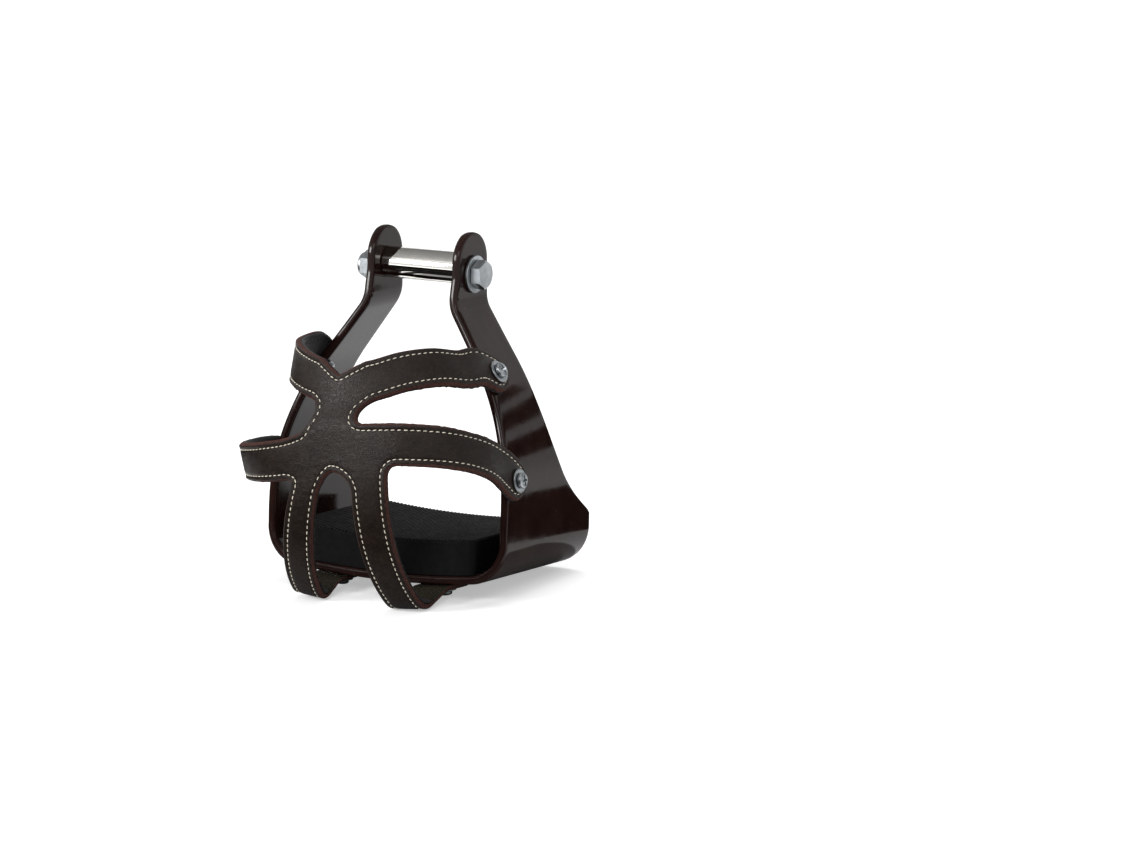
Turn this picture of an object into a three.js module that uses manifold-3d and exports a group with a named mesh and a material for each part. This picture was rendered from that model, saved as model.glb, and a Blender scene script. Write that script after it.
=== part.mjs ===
// Western cage stirrup: a bent bar frame with a turning leather roller, a ribbed rubber tread
// and a stitched leather toe cage. Millimetres, +Z up, the toe cage in front at -Y.
import * as THREE from "three";
import { mergeVertices } from "three/addons/utils/BufferGeometryUtils.js";
import Module from "manifold-3d";

const wasm = await Module();
wasm.setup();

// Clearances
const seatGap = 0.35;          // between pieces that rest on each other
const boreClearance = 0.3;     // round a screw or bolt in its hole
const cutOverrun = 3;          // how far a cutting tool runs past the faces it cuts

// Frame: one flat bar, rounded along its edges and bent to shape
const barThickness = 4.5;
const barEdgeRadius = 1.8;
const frameWidth = 139.5;      // across the outside of the two legs
const treadDishRadius = 468;   // the tread plate sags to this radius, under its skin's middle
const treadBendRadius = 16;    // inside the bend from tread to leg
const treadFront = 40;         // front edge of the tread plate, ahead of the roller axis
const treadRear = 49.2;        // rear edge, behind the roller axis
const legFootFront = 37;       // front edge of the leg where the bend starts
const wingHeight = 30.5;       // where the leg has widened to the full tread
const legFootHeight = 36;      // where the leg leaves the vertical
const legBowRadius = 130;
const neckBendRadius = 16;
const slotWidth = 45;          // between the ears, for the stirrup leather
const boltHeight = 153.4;      // bolt axis above the underside of the tread
const earFoot = 10.3;          // the ear is upright from this far below the bolt axis
const earRadius = 15;
const earRise = 6.1;           // centre of the ear's round top above the bolt axis

// Leg edges seen from the side: share of the height from wing to roller axis, then the share
// of the way out from the ear's half width to the foot of the leg
const legFrontShares = [
  [0, 1], [0.09, 0.965], [0.16, 0.918], [0.24, 0.845], [0.34, 0.736], [0.44, 0.615],
  [0.55, 0.482], [0.7, 0.3], [0.83, 0.165], [0.92, 0.09], [1, 0],
];
const legRearShares = [
  [0, 1], [0.045, 0.76], [0.094, 0.527], [0.16, 0.305], [0.24, 0.155], [0.34, 0.035],
  [0.44, -0.03], [0.55, -0.053], [0.7, -0.035], [0.83, -0.006], [0.92, 0.018], [1, 0],
];

// Roller, its bolt and the bolt's washers and lock nut
const rollerDiameter = 16;
const rollerWall = 1.2;        // a loose tube: the leather lifts it until it bears on the bolt
const rollerEndPlay = 0.35;
const boltDiameter = 8;
const hexAcrossFlats = 13;
const boltHeadHeight = 5.3;
const boltWasherDiameter = 19;
const boltWasherThickness = 1.6;
const nutHeight = 6.5;
const nutCollarDiameter = 12;
const nutCollarHeight = 2;
const nutCollarWall = 0.9;
const insertThickness = 1.5;
const boltEndBeyondInsert = 0.8;
const hexChamferAngle = THREE.MathUtils.degToRad(30);

// Rubber tread pad
const padSideGap = 12.25;      // from the pad to the inner face of each leg
const padFront = 39.5;
const padRear = 46.5;
const padThickness = 17;       // from the plate to the roots of the ribs
const padCornerRadius = 3;
const padRibPitch = 2.12;
const padRibHeight = 0.9;
const padRibCrestShare = 0.4;  // flat top of a rib, of the pitch
const padRibFlankShare = 0.2;  // each sloping flank, of the pitch

// Toe cage: leather outside, a softer black backing inside, sewn together
const leatherThickness = 2.6;
const backingThickness = 1.7;
const seamGap = 0.3;
const armWidth = 20.5;
const leftLowerTabWidth = 16.5;  // the left lower arm narrows to this at its end
const railSpacing = 32;        // between the centre lines of upper and lower arm in front
const upperReach = 84;         // upper arms' centre line ahead of the roller axis
const lowerReach = 93.5;
const upperFrontHeight = 105.6;
const lowerFrontHeight = 75.2;
const armRise = 8.3;           // upper arms' rise from the middle to their highest
const lowerArmRise = 3.3;
const lowerArmSag = 18;        // the left lower arm hangs this far below its height in the middle
const vNotchDepth = 6.5;
const vNotchHalfWidth = 15;
const rightNotchInset = 13;    // tip of the notch between the arms, from the middle
const leftNotchInset = 8.5;
const archTopDrop = 13.2;      // top of the arch between the straps, under the lower centre line
const archRound = 10;          // height of the arch's round top
const rightStrapInset = 14;    // inner edge of a strap from the middle
const leftStrapInset = 6;
const rightStrapWidth = 18.5;
const leftStrapWidth = 17.5;
const rightStrapSplay = 6.4;   // how far a strap wanders outward on its way down
const leftStrapSplay = 20;
const strapFillet = 5;
const strapCornerShare = 0.25; // corner radius of a strap's end, of its width
const tabInset = 9;            // from an arm's rounded end to its screw
const tabRun = 12;             // from the screw forward, the arm still lies along the leg

// Arm centre lines from the middle to the leg: shares of the reach to the leg sideways, of the
// reach forward and of the arm's rise (or sag) from its height in the middle
const upperRightShares = [
  [0.3, 0.958, 0.22], [0.57, 0.852, 0.8], [0.77, 0.696, 0.98], [0.9, 0.51, 0.72],
];
const upperLeftShares = [
  [0.3, 0.958, 0.12], [0.57, 0.852, 0.38], [0.77, 0.696, 0.58], [0.9, 0.51, 0.64],
];
const lowerRightShares = [
  [0.295, 0.991, 0.64], [0.58, 0.937, 1], [0.82, 0.806, 0.48], [0.95, 0.612, -1.2],
];
const lowerLeftShares = [
  [0.295, 0.991, -0.45], [0.58, 0.937, -0.7], [0.82, 0.806, -0.85], [0.95, 0.612, -0.92],
];
// Inward lean of the arms' width at shares of the way from the middle to the leg
const upperLeanShares = [0, 0.3, 0.6];
const upperRightLeans = [14, 29, 36].map(THREE.MathUtils.degToRad);
const upperLeftLeans = [14, 14, 9].map(THREE.MathUtils.degToRad);
const lowerLeanShares = [0, 0.28, 0.6];
const lowerRightLeans = [8, 12, 24].map(THREE.MathUtils.degToRad);
const lowerLeftLeans = [8, 0, -13].map(THREE.MathUtils.degToRad);
const tabLeanShare = 0.85;     // from here to its end an arm takes the lean of the leg

// Arm screws, through the arm ends into the legs
const upperScrewHeight = 104.6;
const upperRightScrewForward = 20.5;
const upperLeftScrewForward = 18;
const upperArmFall = THREE.MathUtils.degToRad(22);
const lowerScrewHeight = 55.5;
const lowerRightScrewForward = 31.5;
const lowerLeftScrewForward = 22;
const lowerRightArmFall = THREE.MathUtils.degToRad(36);
const lowerLeftArmFall = THREE.MathUtils.degToRad(8);
const screwDiameter = 4;
const screwHeadDiameter = 8;
const screwHeadHeight = 2.3;
const screwTipShare = 0.7;     // radius of a screw's tip, of its shank's
const screwTipBeyondLeg = 3;
const screwWasherDiameter = 12;
const screwWasherThickness = 0.8;
const crossRecessWidth = 1.3;
const crossRecessSpan = 4.6;
const crossRecessDepth = 1.5;
// Half profile of the pan head: shares of its radius and of its height
const panHeadShares = [[1, 0], [1, 0.55], [0.8, 0.84], [0.45, 1], [0, 1]];

// Straps: a long bow, a tight turn below the tread, then up to its underside
const strapEndLean = THREE.MathUtils.degToRad(50);
const turnRadius = 12;
const rightStrapDrop = 8.4;     // lowest point of the turn under the tread plate
const leftStrapDrop = 7.45;
const returnRise = THREE.MathUtils.degToRad(22);
const returnBendRadius = 10;
const strapTabLength = 22;
const strapScrewForward = 30;
const strapScrewGrip = 8;      // screw length in plate and pad

// Countersunk screws that hold the rear of the pad
const padScrewDiameter = 5;
const padScrewHeadDiameter = 9.5;
const padScrewSpread = 30;     // from the middle to each screw
const padScrewBehind = 30;     // behind the roller axis
const padScrewGrip = 9;

// Smoothness
const cornerSteps = 2;
const roundSegments = 32;
const smallSegments = 16;
const barSteps = { dish: 5, treadBend: 7, legFoot: 2, legBow: 9, legFlank: 2, neck: 5, ear: 2 };
const earTopSteps = 5;
const earCrownShare = 0.89;    // of a quarter turn, the ear's top edge rounds off this far
const padFloorSteps = 16;
const leatherFacet = 7;        // facet size of the leather
const leatherEdgeShare = 0.6;  // of a facet, corners inside the leather keep this far from its edge
const leatherRowShares = [0.25, 0.75]; // places of a row's corners between those of the grid
const turnStretch = 2.2;       // facets are this much finer round the tight turn
const slopeProbe = 1;          // step between the points that a surface's slope is taken from
const railSamples = 400;

const materials = {
  paint: { color: 0x34211f, roughness: 0.22, metalness: 0.35 },
  chrome: { color: 0xd6d6d2, roughness: 0.08, metalness: 1 },
  zinc: { color: 0xb4b7ba, roughness: 0.3, metalness: 0.9 },
  nylon: { color: 0x5b8fc4, roughness: 0.5, metalness: 0 },
  rubber: { color: 0x17181a, roughness: 0.8, metalness: 0 },
  leather: { color: 0x3a2f2b, roughness: 0.55, metalness: 0 },
  backing: { color: 0x1b1a1b, roughness: 0.85, metalness: 0 },
};

// Helpers: closed meshes, booleans and placing

function welded(geometry) {
  const bare = geometry.clone();
  bare.deleteAttribute("normal");
  bare.deleteAttribute("uv");
  return mergeVertices(bare);
}

function toSolid(geometry) {
  const closed = welded(geometry);
  return new wasm.Manifold(new wasm.Mesh({
    numProp: 3,
    vertProperties: new Float32Array(closed.attributes.position.array),
    triVerts: new Uint32Array(closed.index.array),
  }));
}

function toGeometry(solid) {
  const mesh = solid.getMesh();
  const geometry = new THREE.BufferGeometry();
  geometry.setAttribute("position", new THREE.BufferAttribute(mesh.vertProperties, 3));
  geometry.setIndex(new THREE.BufferAttribute(mesh.triVerts, 1));
  return geometry;
}

function piece(name, slot, geometry) {
  const shaded = geometry.index ? geometry : mergeVertices(geometry);
  shaded.computeVertexNormals();
  const mesh = new THREE.Mesh(shaded, new THREE.MeshStandardMaterial(materials[slot]));
  mesh.name = name;
  return mesh;
}

// Turns a shape whose own axis is +Y so that it points along an axis and stands at a point
function aimed(geometry, point, axis) {
  const turn = new THREE.Quaternion().setFromUnitVectors(new THREE.Vector3(0, 1, 0), axis);
  return geometry.clone().applyQuaternion(turn).translate(point.x, point.y, point.z);
}

function rod(radius, length, point, axis) {
  const segments = radius > screwHeadDiameter / 2 ? roundSegments : smallSegments;
  const centred = new THREE.CylinderGeometry(radius, radius, length, segments);
  return toSolid(aimed(centred, point, axis));
}

// A ring of square section on the Y axis, standing on y = 0
function ring(innerRadius, outerRadius, height) {
  const outline = [
    [innerRadius, 0], [outerRadius, 0], [outerRadius, height], [innerRadius, height], [innerRadius, 0],
  ];
  const segments = outerRadius > screwWasherDiameter / 2 ? roundSegments : smallSegments;
  return new THREE.LatheGeometry(outline.map(([r, y]) => new THREE.Vector2(r, y)), segments);
}

function interpolant(pairs) {
  return new THREE.CubicInterpolant(pairs.map((pair) => pair[0]), pairs.map((pair) => pair[1]), 1);
}

// Frame

// Middle surface of half the bar in the XZ plane, from under the roller out and up to the ear
function barPath() {
  const middleBend = treadBendRadius + barThickness / 2;
  const middleHalfWidth = (frameWidth - barThickness) / 2;
  const dishAngle = Math.asin((middleHalfWidth - middleBend) / (treadDishRadius - middleBend));
  const path = [{ x: 0, z: barThickness / 2, angle: 0 }];
  const quarter = Math.PI / 2;
  const earX = (slotWidth + barThickness) / 2;
  const inward = middleHalfWidth - earX;
  const rise = boltHeight - earFoot - legFootHeight;
  const bowRadius = Math.min(legBowRadius, longestBow(inward, rise));
  const legLean = flankLean(inward, rise, bowRadius + neckBendRadius);
  walkArc(path, treadDishRadius, dishAngle, barSteps.dish);
  walkArc(path, middleBend, quarter - dishAngle, barSteps.treadBend);
  walkLine(path, legFootHeight - path.at(-1).z, barSteps.legFoot);
  walkArc(path, bowRadius, legLean, barSteps.legBow);
  const neckShift = neckBendRadius * (1 - Math.cos(legLean));
  walkLine(path, (path.at(-1).x - earX - neckShift) / Math.sin(legLean), barSteps.legFlank);
  walkArc(path, neckBendRadius, -legLean, barSteps.neck);
  walkLine(path, boltHeight + earRise - path.at(-1).z, barSteps.ear);
  return path;
}

// Radius at which the leg's bow runs straight into the neck bend, with no flank between them
function longestBow(inward, rise) {
  return (rise ** 2 + inward ** 2) / (2 * inward) - neckBendRadius;
}

// Lean of a leg's flank, which two opposite bends join to its foot and its ear
function flankLean(inward, rise, radii) {
  const reach = Math.hypot(rise, radii - inward);
  return Math.asin(Math.min(radii / reach, 1)) - Math.atan2(radii - inward, rise);
}

function walkLine(path, length, steps) {
  for (let i = 0; i < steps; i += 1) {
    const { x, z, angle } = path.at(-1);
    const run = length / steps;
    path.push({ x: x + run * Math.cos(angle), z: z + run * Math.sin(angle), angle });
  }
}

function walkArc(path, radius, turn, steps) {
  const stepTurn = turn / steps;
  const chord = 2 * radius * Math.abs(Math.sin(stepTurn / 2));
  for (let i = 0; i < steps; i += 1) {
    const { x, z, angle } = path.at(-1);
    const heading = angle + stepTurn / 2;
    const next = { x: x + chord * Math.cos(heading), z: z + chord * Math.sin(heading) };
    path.push({ ...next, angle: angle + stepTurn });
  }
}

const legFrontCurve = interpolant(legFrontShares);
const legRearCurve = interpolant(legRearShares);

// Front and rear edge of the bar at a station of its path
function barEdges({ z, angle }) {
  const heightShare = (z - wingHeight) / (boltHeight - wingHeight);
  if (heightShare <= 0) {
    return { front: legFootFront + (treadFront - legFootFront) * Math.cos(angle), rear: treadRear };
  }
  const share = Math.min(heightShare, 1);
  return {
    front: earRadius + (legFootFront - earRadius) * legFrontCurve.evaluate(share)[0],
    rear: earRadius + (treadRear - earRadius) * legRearCurve.evaluate(share)[0],
  };
}

// Stations over the ear's round top, where the bar narrows and its edge rounds off
function earTop(foot) {
  const flatHeight = earRadius - barEdgeRadius;
  const stations = [];
  for (let i = 1; i <= earTopSteps; i += 1) {
    const rise = flatHeight * Math.sin((Math.PI / 2) * (i / earTopSteps));
    stations.push({ rise, halfThickness: barThickness / 2 });
  }
  for (let i = 1; i <= cornerSteps; i += 1) {
    const roll = (Math.PI / 2) * earCrownShare * (i / cornerSteps);
    const halfThickness = barThickness / 2 - barEdgeRadius * (1 - Math.cos(roll));
    stations.push({ rise: flatHeight + barEdgeRadius * Math.sin(roll), halfThickness });
  }
  return stations.map(({ rise, halfThickness }) => {
    const half = Math.sqrt(earRadius ** 2 - rise ** 2);
    return { x: foot.x, z: foot.z + rise, angle: foot.angle, front: half, rear: half, halfThickness };
  });
}

// Rounded section of the bar at a station, as points in space
function barSection({ x, z, angle, front, rear, halfThickness }, side) {
  const middle = (rear - front) / 2;
  const halfWidth = (rear + front) / 2;
  const radius = Math.min(barEdgeRadius, halfThickness, halfWidth);
  const corners = [[1, 1], [-1, 1], [-1, -1], [1, -1]];
  return corners.flatMap(([across, out], corner) => {
    const points = [];
    for (let i = 0; i <= cornerSteps; i += 1) {
      const turn = (Math.PI / 2) * (corner + i / cornerSteps);
      const y = middle + across * (halfWidth - radius) + radius * Math.cos(turn);
      const normal = out * (halfThickness - radius) + radius * Math.sin(turn);
      points.push(new THREE.Vector3(side * (x + normal * Math.sin(angle)), y, z - normal * Math.cos(angle)));
    }
    return points;
  });
}

// Closed skin through a row of rings with equally many points
function loft(rings) {
  const count = rings[0].length;
  const index = [];
  for (let row = 0; row + 1 < rings.length; row += 1) {
    for (let i = 0; i < count; i += 1) {
      const next = (i + 1) % count;
      const a = row * count + i;
      const b = row * count + next;
      index.push(a, a + count, b, b, a + count, b + count);
    }
  }
  const last = (rings.length - 1) * count;
  for (let i = 1; i + 1 < count; i += 1) {
    index.push(0, i, i + 1);
    index.push(last, last + i + 1, last + i);
  }
  const geometry = new THREE.BufferGeometry().setFromPoints(rings.flat());
  geometry.setIndex(index);
  return geometry;
}

const halfPath = barPath();

// From a leg's outer face to the outer face of the leather screwed on to it
const cageStack = seatGap + backingThickness + seamGap + leatherThickness;

const rightSide = {
  name: "right", sign: 1, lowerTabWidth: armWidth, notchInset: rightNotchInset,
  strapInset: rightStrapInset, strapWidth: rightStrapWidth, strapSplay: rightStrapSplay,
  dropBelowTread: rightStrapDrop,
};
const leftSide = {
  name: "left", sign: -1, lowerTabWidth: leftLowerTabWidth, notchInset: leftNotchInset,
  strapInset: leftStrapInset, strapWidth: leftStrapWidth, strapSplay: leftStrapSplay,
  dropBelowTread: leftStrapDrop,
};

function frameBlank() {
  const halfThickness = barThickness / 2;
  const leg = halfPath.map((station) => ({ ...station, ...barEdges(station), halfThickness }));
  const stations = [...leg, ...earTop(halfPath.at(-1))];
  const right = stations.map((station) => barSection(station, 1));
  const left = stations.slice(1).map((station) => barSection(station, -1)).reverse();
  return toSolid(loft([...left, ...right]));
}

// Point on the outer face of the right leg at a height, moved out by an offset, with the
// outward normal there
function legFace(height, offset) {
  const above = halfPath.findIndex((station) => station.z > height && station.angle > Math.PI / 4);
  const [low, high] = [halfPath[above - 1], halfPath[above]];
  const share = (height - low.z) / (high.z - low.z);
  const angle = THREE.MathUtils.lerp(low.angle, high.angle, share);
  const normal = new THREE.Vector3(Math.sin(angle), 0, -Math.cos(angle));
  const middle = new THREE.Vector3(THREE.MathUtils.lerp(low.x, high.x, share), 0, height);
  return { point: middle.addScaledVector(normal, barThickness / 2 + offset), normal };
}

// Height of the tread plate's underside over the middle of the dish
function dishRise(x) {
  const outerRadius = treadDishRadius + barThickness / 2;
  return outerRadius - Math.sqrt(outerRadius ** 2 - x ** 2);
}

// The fasteners' places: heads point along the normal
function armScrewSeats() {
  const rows = [
    { name: "right_upper", side: 1, height: upperScrewHeight, forward: upperRightScrewForward },
    { name: "left_upper", side: -1, height: upperScrewHeight, forward: upperLeftScrewForward },
    { name: "right_lower", side: 1, height: lowerScrewHeight, forward: lowerRightScrewForward },
    { name: "left_lower", side: -1, height: lowerScrewHeight, forward: lowerLeftScrewForward },
  ];
  return rows.map(({ name, side, height, forward }) => {
    const { point, normal } = legFace(height, cageStack);
    const mirror = new THREE.Vector3(side, 1, 1);
    return {
      name,
      point: point.clone().setY(-forward).multiply(mirror),
      normal: normal.clone().multiply(mirror),
      grip: cageStack + barThickness + screwTipBeyondLeg,
    };
  });
}

function strapScrewSeats() {
  return [rightSide, leftSide].map((strap) => {
    const side = strap.sign;
    const x = strapTabX(strap);
    const down = new THREE.Vector3(side * x / treadDishRadius, 0, -1).normalize();
    const under = dishRise(x) - seatGap - leatherThickness;
    return {
      name: `${strap.name}_strap`,
      point: new THREE.Vector3(side * x, -strapScrewForward, under),
      normal: down,
      grip: leatherThickness + seatGap + barThickness + strapScrewGrip,
    };
  });
}

// Distance of a strap's end from the middle, under the tread
function strapTabX(strap) {
  return strap.sign * armPoint(lowerArm, strapMiddle(strap), -armWidth / 2).x + strap.strapSplay;
}

function padScrewSeats() {
  return [1, -1].map((side) => ({
    name: side > 0 ? "right" : "left",
    point: new THREE.Vector3(side * padScrewSpread, padScrewBehind, dishRise(padScrewSpread)),
    normal: new THREE.Vector3(side * padScrewSpread / treadDishRadius, 0, -1).normalize(),
  }));
}

// Flat-topped cone frustum that a countersunk head and its seat share, head face at y = 0
function countersink(extraRadius) {
  const headRadius = padScrewHeadDiameter / 2 + extraRadius;
  const shankRadius = padScrewDiameter / 2 + extraRadius;
  const depth = headRadius - shankRadius;
  return { headRadius, shankRadius, depth };
}

function frame() {
  let solid = frameBlank();
  const alongX = new THREE.Vector3(1, 0, 0);
  const axisPoint = new THREE.Vector3(0, 0, boltHeight);
  const reach = slotWidth + 2 * (barThickness + cutOverrun);
  solid = solid.subtract(rod(boltDiameter / 2 + boreClearance, reach, axisPoint, alongX));
  for (const { point, normal } of armScrewSeats()) {
    const legMiddle = point.clone().addScaledVector(normal, -cageStack - barThickness / 2);
    solid = solid.subtract(screwHole(barThickness + 2 * cutOverrun, legMiddle, normal));
  }
  for (const { point, normal } of strapScrewSeats()) {
    solid = solid.subtract(screwHole(2 * (barThickness + cutOverrun + leatherThickness), point, normal));
  }
  for (const { point, normal } of padScrewSeats()) {
    solid = solid.subtract(toSolid(aimed(countersunkTool(), point, normal)));
  }
  return piece("stirrup_frame", "paint", toGeometry(solid));
}

function screwHole(length, middle, axis) {
  return rod(screwDiameter / 2 + boreClearance, length, middle, axis);
}

function countersunkTool() {
  const { headRadius, shankRadius, depth } = countersink(boreClearance);
  const outline = [
    [0, cutOverrun], [headRadius + cutOverrun, cutOverrun], [headRadius, 0], [shankRadius, -depth],
    [shankRadius, -barThickness - cutOverrun], [0, -barThickness - cutOverrun],
  ];
  return new THREE.LatheGeometry(outline.reverse().map(([r, y]) => new THREE.Vector2(r, y)), roundSegments);
}

// Roller and its bolt

// The tube hangs in the leather, so its bore bears on the bolt from below
function roller() {
  const length = slotWidth - 2 * rollerEndPlay;
  const bore = rollerDiameter / 2 - rollerWall;
  const tube = ring(bore, rollerDiameter / 2, length).translate(0, -length / 2, 0);
  const mesh = piece("roller_sleeve", "chrome", tube);
  mesh.position.z = boltHeight + bore - boltDiameter / 2 - seatGap;
  mesh.rotation.z = -Math.PI / 2;
  return mesh;
}

// A hexagonal prism on the Y axis with its far rim chamfered, standing on y = 0
function hexBlock(height, chamferBoth) {
  const cornerRadius = hexAcrossFlats / Math.sqrt(3);
  const prism = new THREE.CylinderGeometry(cornerRadius, cornerRadius, height, 6).translate(0, height / 2, 0);
  const rim = (cornerRadius - hexAcrossFlats / 2) * Math.tan(hexChamferAngle);
  const inset = hexAcrossFlats / 2;
  const outline = [[0, 0], [chamferBoth ? inset : cornerRadius, 0]];
  if (chamferBoth) {
    outline.push([cornerRadius, rim]);
  }
  outline.push([cornerRadius, height - rim], [inset, height], [0, height]);
  const turned = new THREE.LatheGeometry(outline.map(([r, y]) => new THREE.Vector2(r, y)), 2 * roundSegments);
  return toSolid(prism).intersect(toSolid(turned));
}

// Everything on the roller bolt is set out along +X from the middle of the roller
function onBoltAxis(mesh, x, side) {
  mesh.position.set(side * x, 0, boltHeight);
  mesh.rotation.z = -side * Math.PI / 2;
  return mesh;
}

const earOuterX = slotWidth / 2 + barThickness;
const boltWasherX = earOuterX + seatGap;
const boltSeatX = boltWasherX + boltWasherThickness + seatGap;

function rollerBolt() {
  const nutEnd = nutHeight + nutCollarHeight + boltEndBeyondInsert;
  const shankLength = 2 * boltSeatX + nutEnd;
  const fusedLength = shankLength + boltHeadHeight / 2;
  const shank = new THREE.CylinderGeometry(boltDiameter / 2, boltDiameter / 2, fusedLength, roundSegments);
  shank.translate(0, fusedLength / 2 - shankLength, 0);
  const solid = hexBlock(boltHeadHeight, false).add(toSolid(shank));
  return onBoltAxis(piece("roller_bolt", "zinc", toGeometry(solid)), boltSeatX, 1);
}

function boltWasher(name, side) {
  const washer = ring(boltDiameter / 2 + boreClearance, boltWasherDiameter / 2, boltWasherThickness);
  return onBoltAxis(piece(name, "zinc", washer), boltWasherX, side);
}

function lockNut() {
  const boltHole = boltDiameter / 2 + boreClearance;
  const collarRadius = nutCollarDiameter / 2;
  const insertSeat = nutHeight + nutCollarHeight - insertThickness;
  const top = nutHeight + nutCollarHeight;
  const collar = ring(boltHole, collarRadius, top);
  const insertPocket = ring(0, insertOuterRadius() + seatGap, top + cutOverrun - insertSeat);
  insertPocket.translate(0, insertSeat, 0);
  const bore = new THREE.CylinderGeometry(boltHole, boltHole, 2 * (top + cutOverrun), roundSegments);
  const body = hexBlock(nutHeight, true).add(toSolid(collar)).subtract(toSolid(bore));
  const nut = toGeometry(body.subtract(toSolid(insertPocket)));
  return onBoltAxis(piece("lock_nut", "zinc", nut), boltSeatX, -1);
}

function insertOuterRadius() {
  return nutCollarDiameter / 2 - nutCollarWall - seatGap;
}

function lockNutInsert() {
  const height = insertThickness - seatGap;
  const insert = ring(boltDiameter / 2 + boreClearance, insertOuterRadius(), height);
  const seatX = boltSeatX + nutHeight + nutCollarHeight - height;
  return onBoltAxis(piece("lock_nut_insert", "nylon", insert), seatX, -1);
}

// Rubber pad

const padWidth = frameWidth - 2 * (barThickness + padSideGap);

// Top of the tread plate, and beside it of the bend up to the leg
function plateTop(x) {
  const topRadius = treadDishRadius - barThickness / 2;
  const bendX = frameWidth / 2 - barThickness - treadBendRadius;
  const centres = topRadius - treadBendRadius;
  const over = Math.abs(x) - bendX;
  if (over * centres < bendX * treadBendRadius) {
    return barThickness + topRadius - Math.sqrt(topRadius ** 2 - x ** 2);
  }
  const bendZ = barThickness + topRadius - Math.sqrt(centres ** 2 - bendX ** 2);
  return bendZ - Math.sqrt(treadBendRadius ** 2 - over ** 2);
}

function padProfile() {
  const half = padWidth / 2;
  const ribRoot = (x) => dishRise(x) + barThickness + seatGap + padThickness;
  const ribs = Math.round(padWidth / padRibPitch);
  const pitch = padWidth / ribs;
  const crest = pitch * padRibCrestShare;
  const flank = pitch * padRibFlankShare;
  const points = [];
  for (let i = 0; i <= padFloorSteps; i += 1) {
    const x = half - (padWidth * i) / padFloorSteps;
    points.push(new THREE.Vector2(x, plateTop(x) + seatGap));
  }
  for (let i = 0; i < ribs; i += 1) {
    const start = i * pitch - half;
    const root = ribRoot(start + pitch / 2);
    points.push(new THREE.Vector2(start, root));
    points.push(new THREE.Vector2(start + flank, root + padRibHeight));
    points.push(new THREE.Vector2(start + flank + crest, root + padRibHeight));
    points.push(new THREE.Vector2(start + 2 * flank + crest, root));
  }
  points.push(new THREE.Vector2(half, ribRoot(half)));
  return new THREE.Shape(points);
}

function padPlan() {
  const half = padWidth / 2;
  const r = padCornerRadius;
  const plan = new THREE.Shape();
  plan.absarc(half - r, padRear - r, r, 0, Math.PI / 2);
  plan.absarc(r - half, padRear - r, r, Math.PI / 2, Math.PI);
  plan.absarc(r - half, r - padFront, r, Math.PI, 1.5 * Math.PI);
  plan.absarc(half - r, r - padFront, r, 1.5 * Math.PI, 2 * Math.PI);
  return plan;
}

function pad() {
  const length = padFront + padRear + 2 * cutOverrun;
  const ribbed = new THREE.ExtrudeGeometry(padProfile(), { depth: length, bevelEnabled: false });
  ribbed.rotateX(Math.PI / 2).translate(0, padRear + cutOverrun, 0);
  const height = 2 * (padThickness + padRibHeight + barThickness);
  const planOptions = { depth: height, bevelEnabled: false, curveSegments: 2 * cornerSteps };
  const plan = new THREE.ExtrudeGeometry(padPlan(), planOptions);
  let solid = toSolid(ribbed).intersect(toSolid(plan));
  for (const { point, normal, grip } of strapScrewSeats()) {
    solid = solid.subtract(screwHole(2 * (grip + seatGap), point, normal));
  }
  for (const { point, normal } of padScrewSeats()) {
    const length = 2 * (barThickness + padScrewGrip + seatGap);
    solid = solid.subtract(rod(padScrewDiameter / 2 + boreClearance, length, point, normal));
  }
  return piece("foot_pad", "rubber", toGeometry(solid));
}

// Toe cage

// Centre line of an arm from the end on the left leg to the end on the right leg
function armRail({ reach, frontHeight, screwHeight, right, left }) {
  const onLeg = (along, { fall, forward }) => {
    const height = screwHeight - along * Math.sin(fall);
    return legFace(height, cageOffset()).point.setY(along * Math.cos(fall) - forward);
  };
  const sidePoints = (side, sign) => {
    const legX = onLeg(0, side).x;
    const freePoint = ([x, y, z]) => new THREE.Vector3(x * legX, -y * reach, frontHeight + z * side.rise);
    const tab = [-tabRun, 0, tabInset].map((along) => onLeg(along, side));
    const points = [...side.shares.map(freePoint), ...tab];
    return points.map(({ x, y, z }) => new THREE.Vector3(sign * x, y, z));
  };
  const front = new THREE.Vector3(0, -reach, frontHeight);
  const stops = [...sidePoints(left, -1).reverse(), front, ...sidePoints(right, 1)];
  const curve = new THREE.CatmullRomCurve3(stops);
  const length = curve.getLength();
  const middle = nearestShare(curve, front);
  const leanRight = leanCurve(right, screwHeight);
  const leanLeft = leanCurve(left, screwHeight);
  const reachOf = (along) => (along < 0 ? middle : 1 - middle) * length;
  const leanAt = (along) => (along < 0 ? leanLeft : leanRight)(Math.abs(along) / reachOf(along));
  return { curve, length, middle, reachOf, leanAt };
}

// Share of a curve's length at which it passes a point
function nearestShare(curve, point) {
  const shares = Array.from({ length: railSamples + 1 }, (_, i) => i / railSamples);
  const gaps = shares.map((share) => curve.getPointAt(share).distanceTo(point));
  return shares[gaps.indexOf(Math.min(...gaps))];
}

// From the leg's outer face to the seam between backing and leather
function cageOffset() {
  return seatGap + backingThickness + seamGap / 2;
}

function leanCurve({ leanShares, leans }, screwHeight) {
  const { normal } = legFace(screwHeight, 0);
  const legLeanThere = Math.atan2(normal.z, normal.x);
  const pairs = leanShares.map((share, i) => [share, leans[i]]);
  const curve = interpolant([...pairs, [tabLeanShare, legLeanThere], [1, legLeanThere]]);
  return (share) => curve.evaluate(Math.min(share, 1))[0];
}

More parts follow.
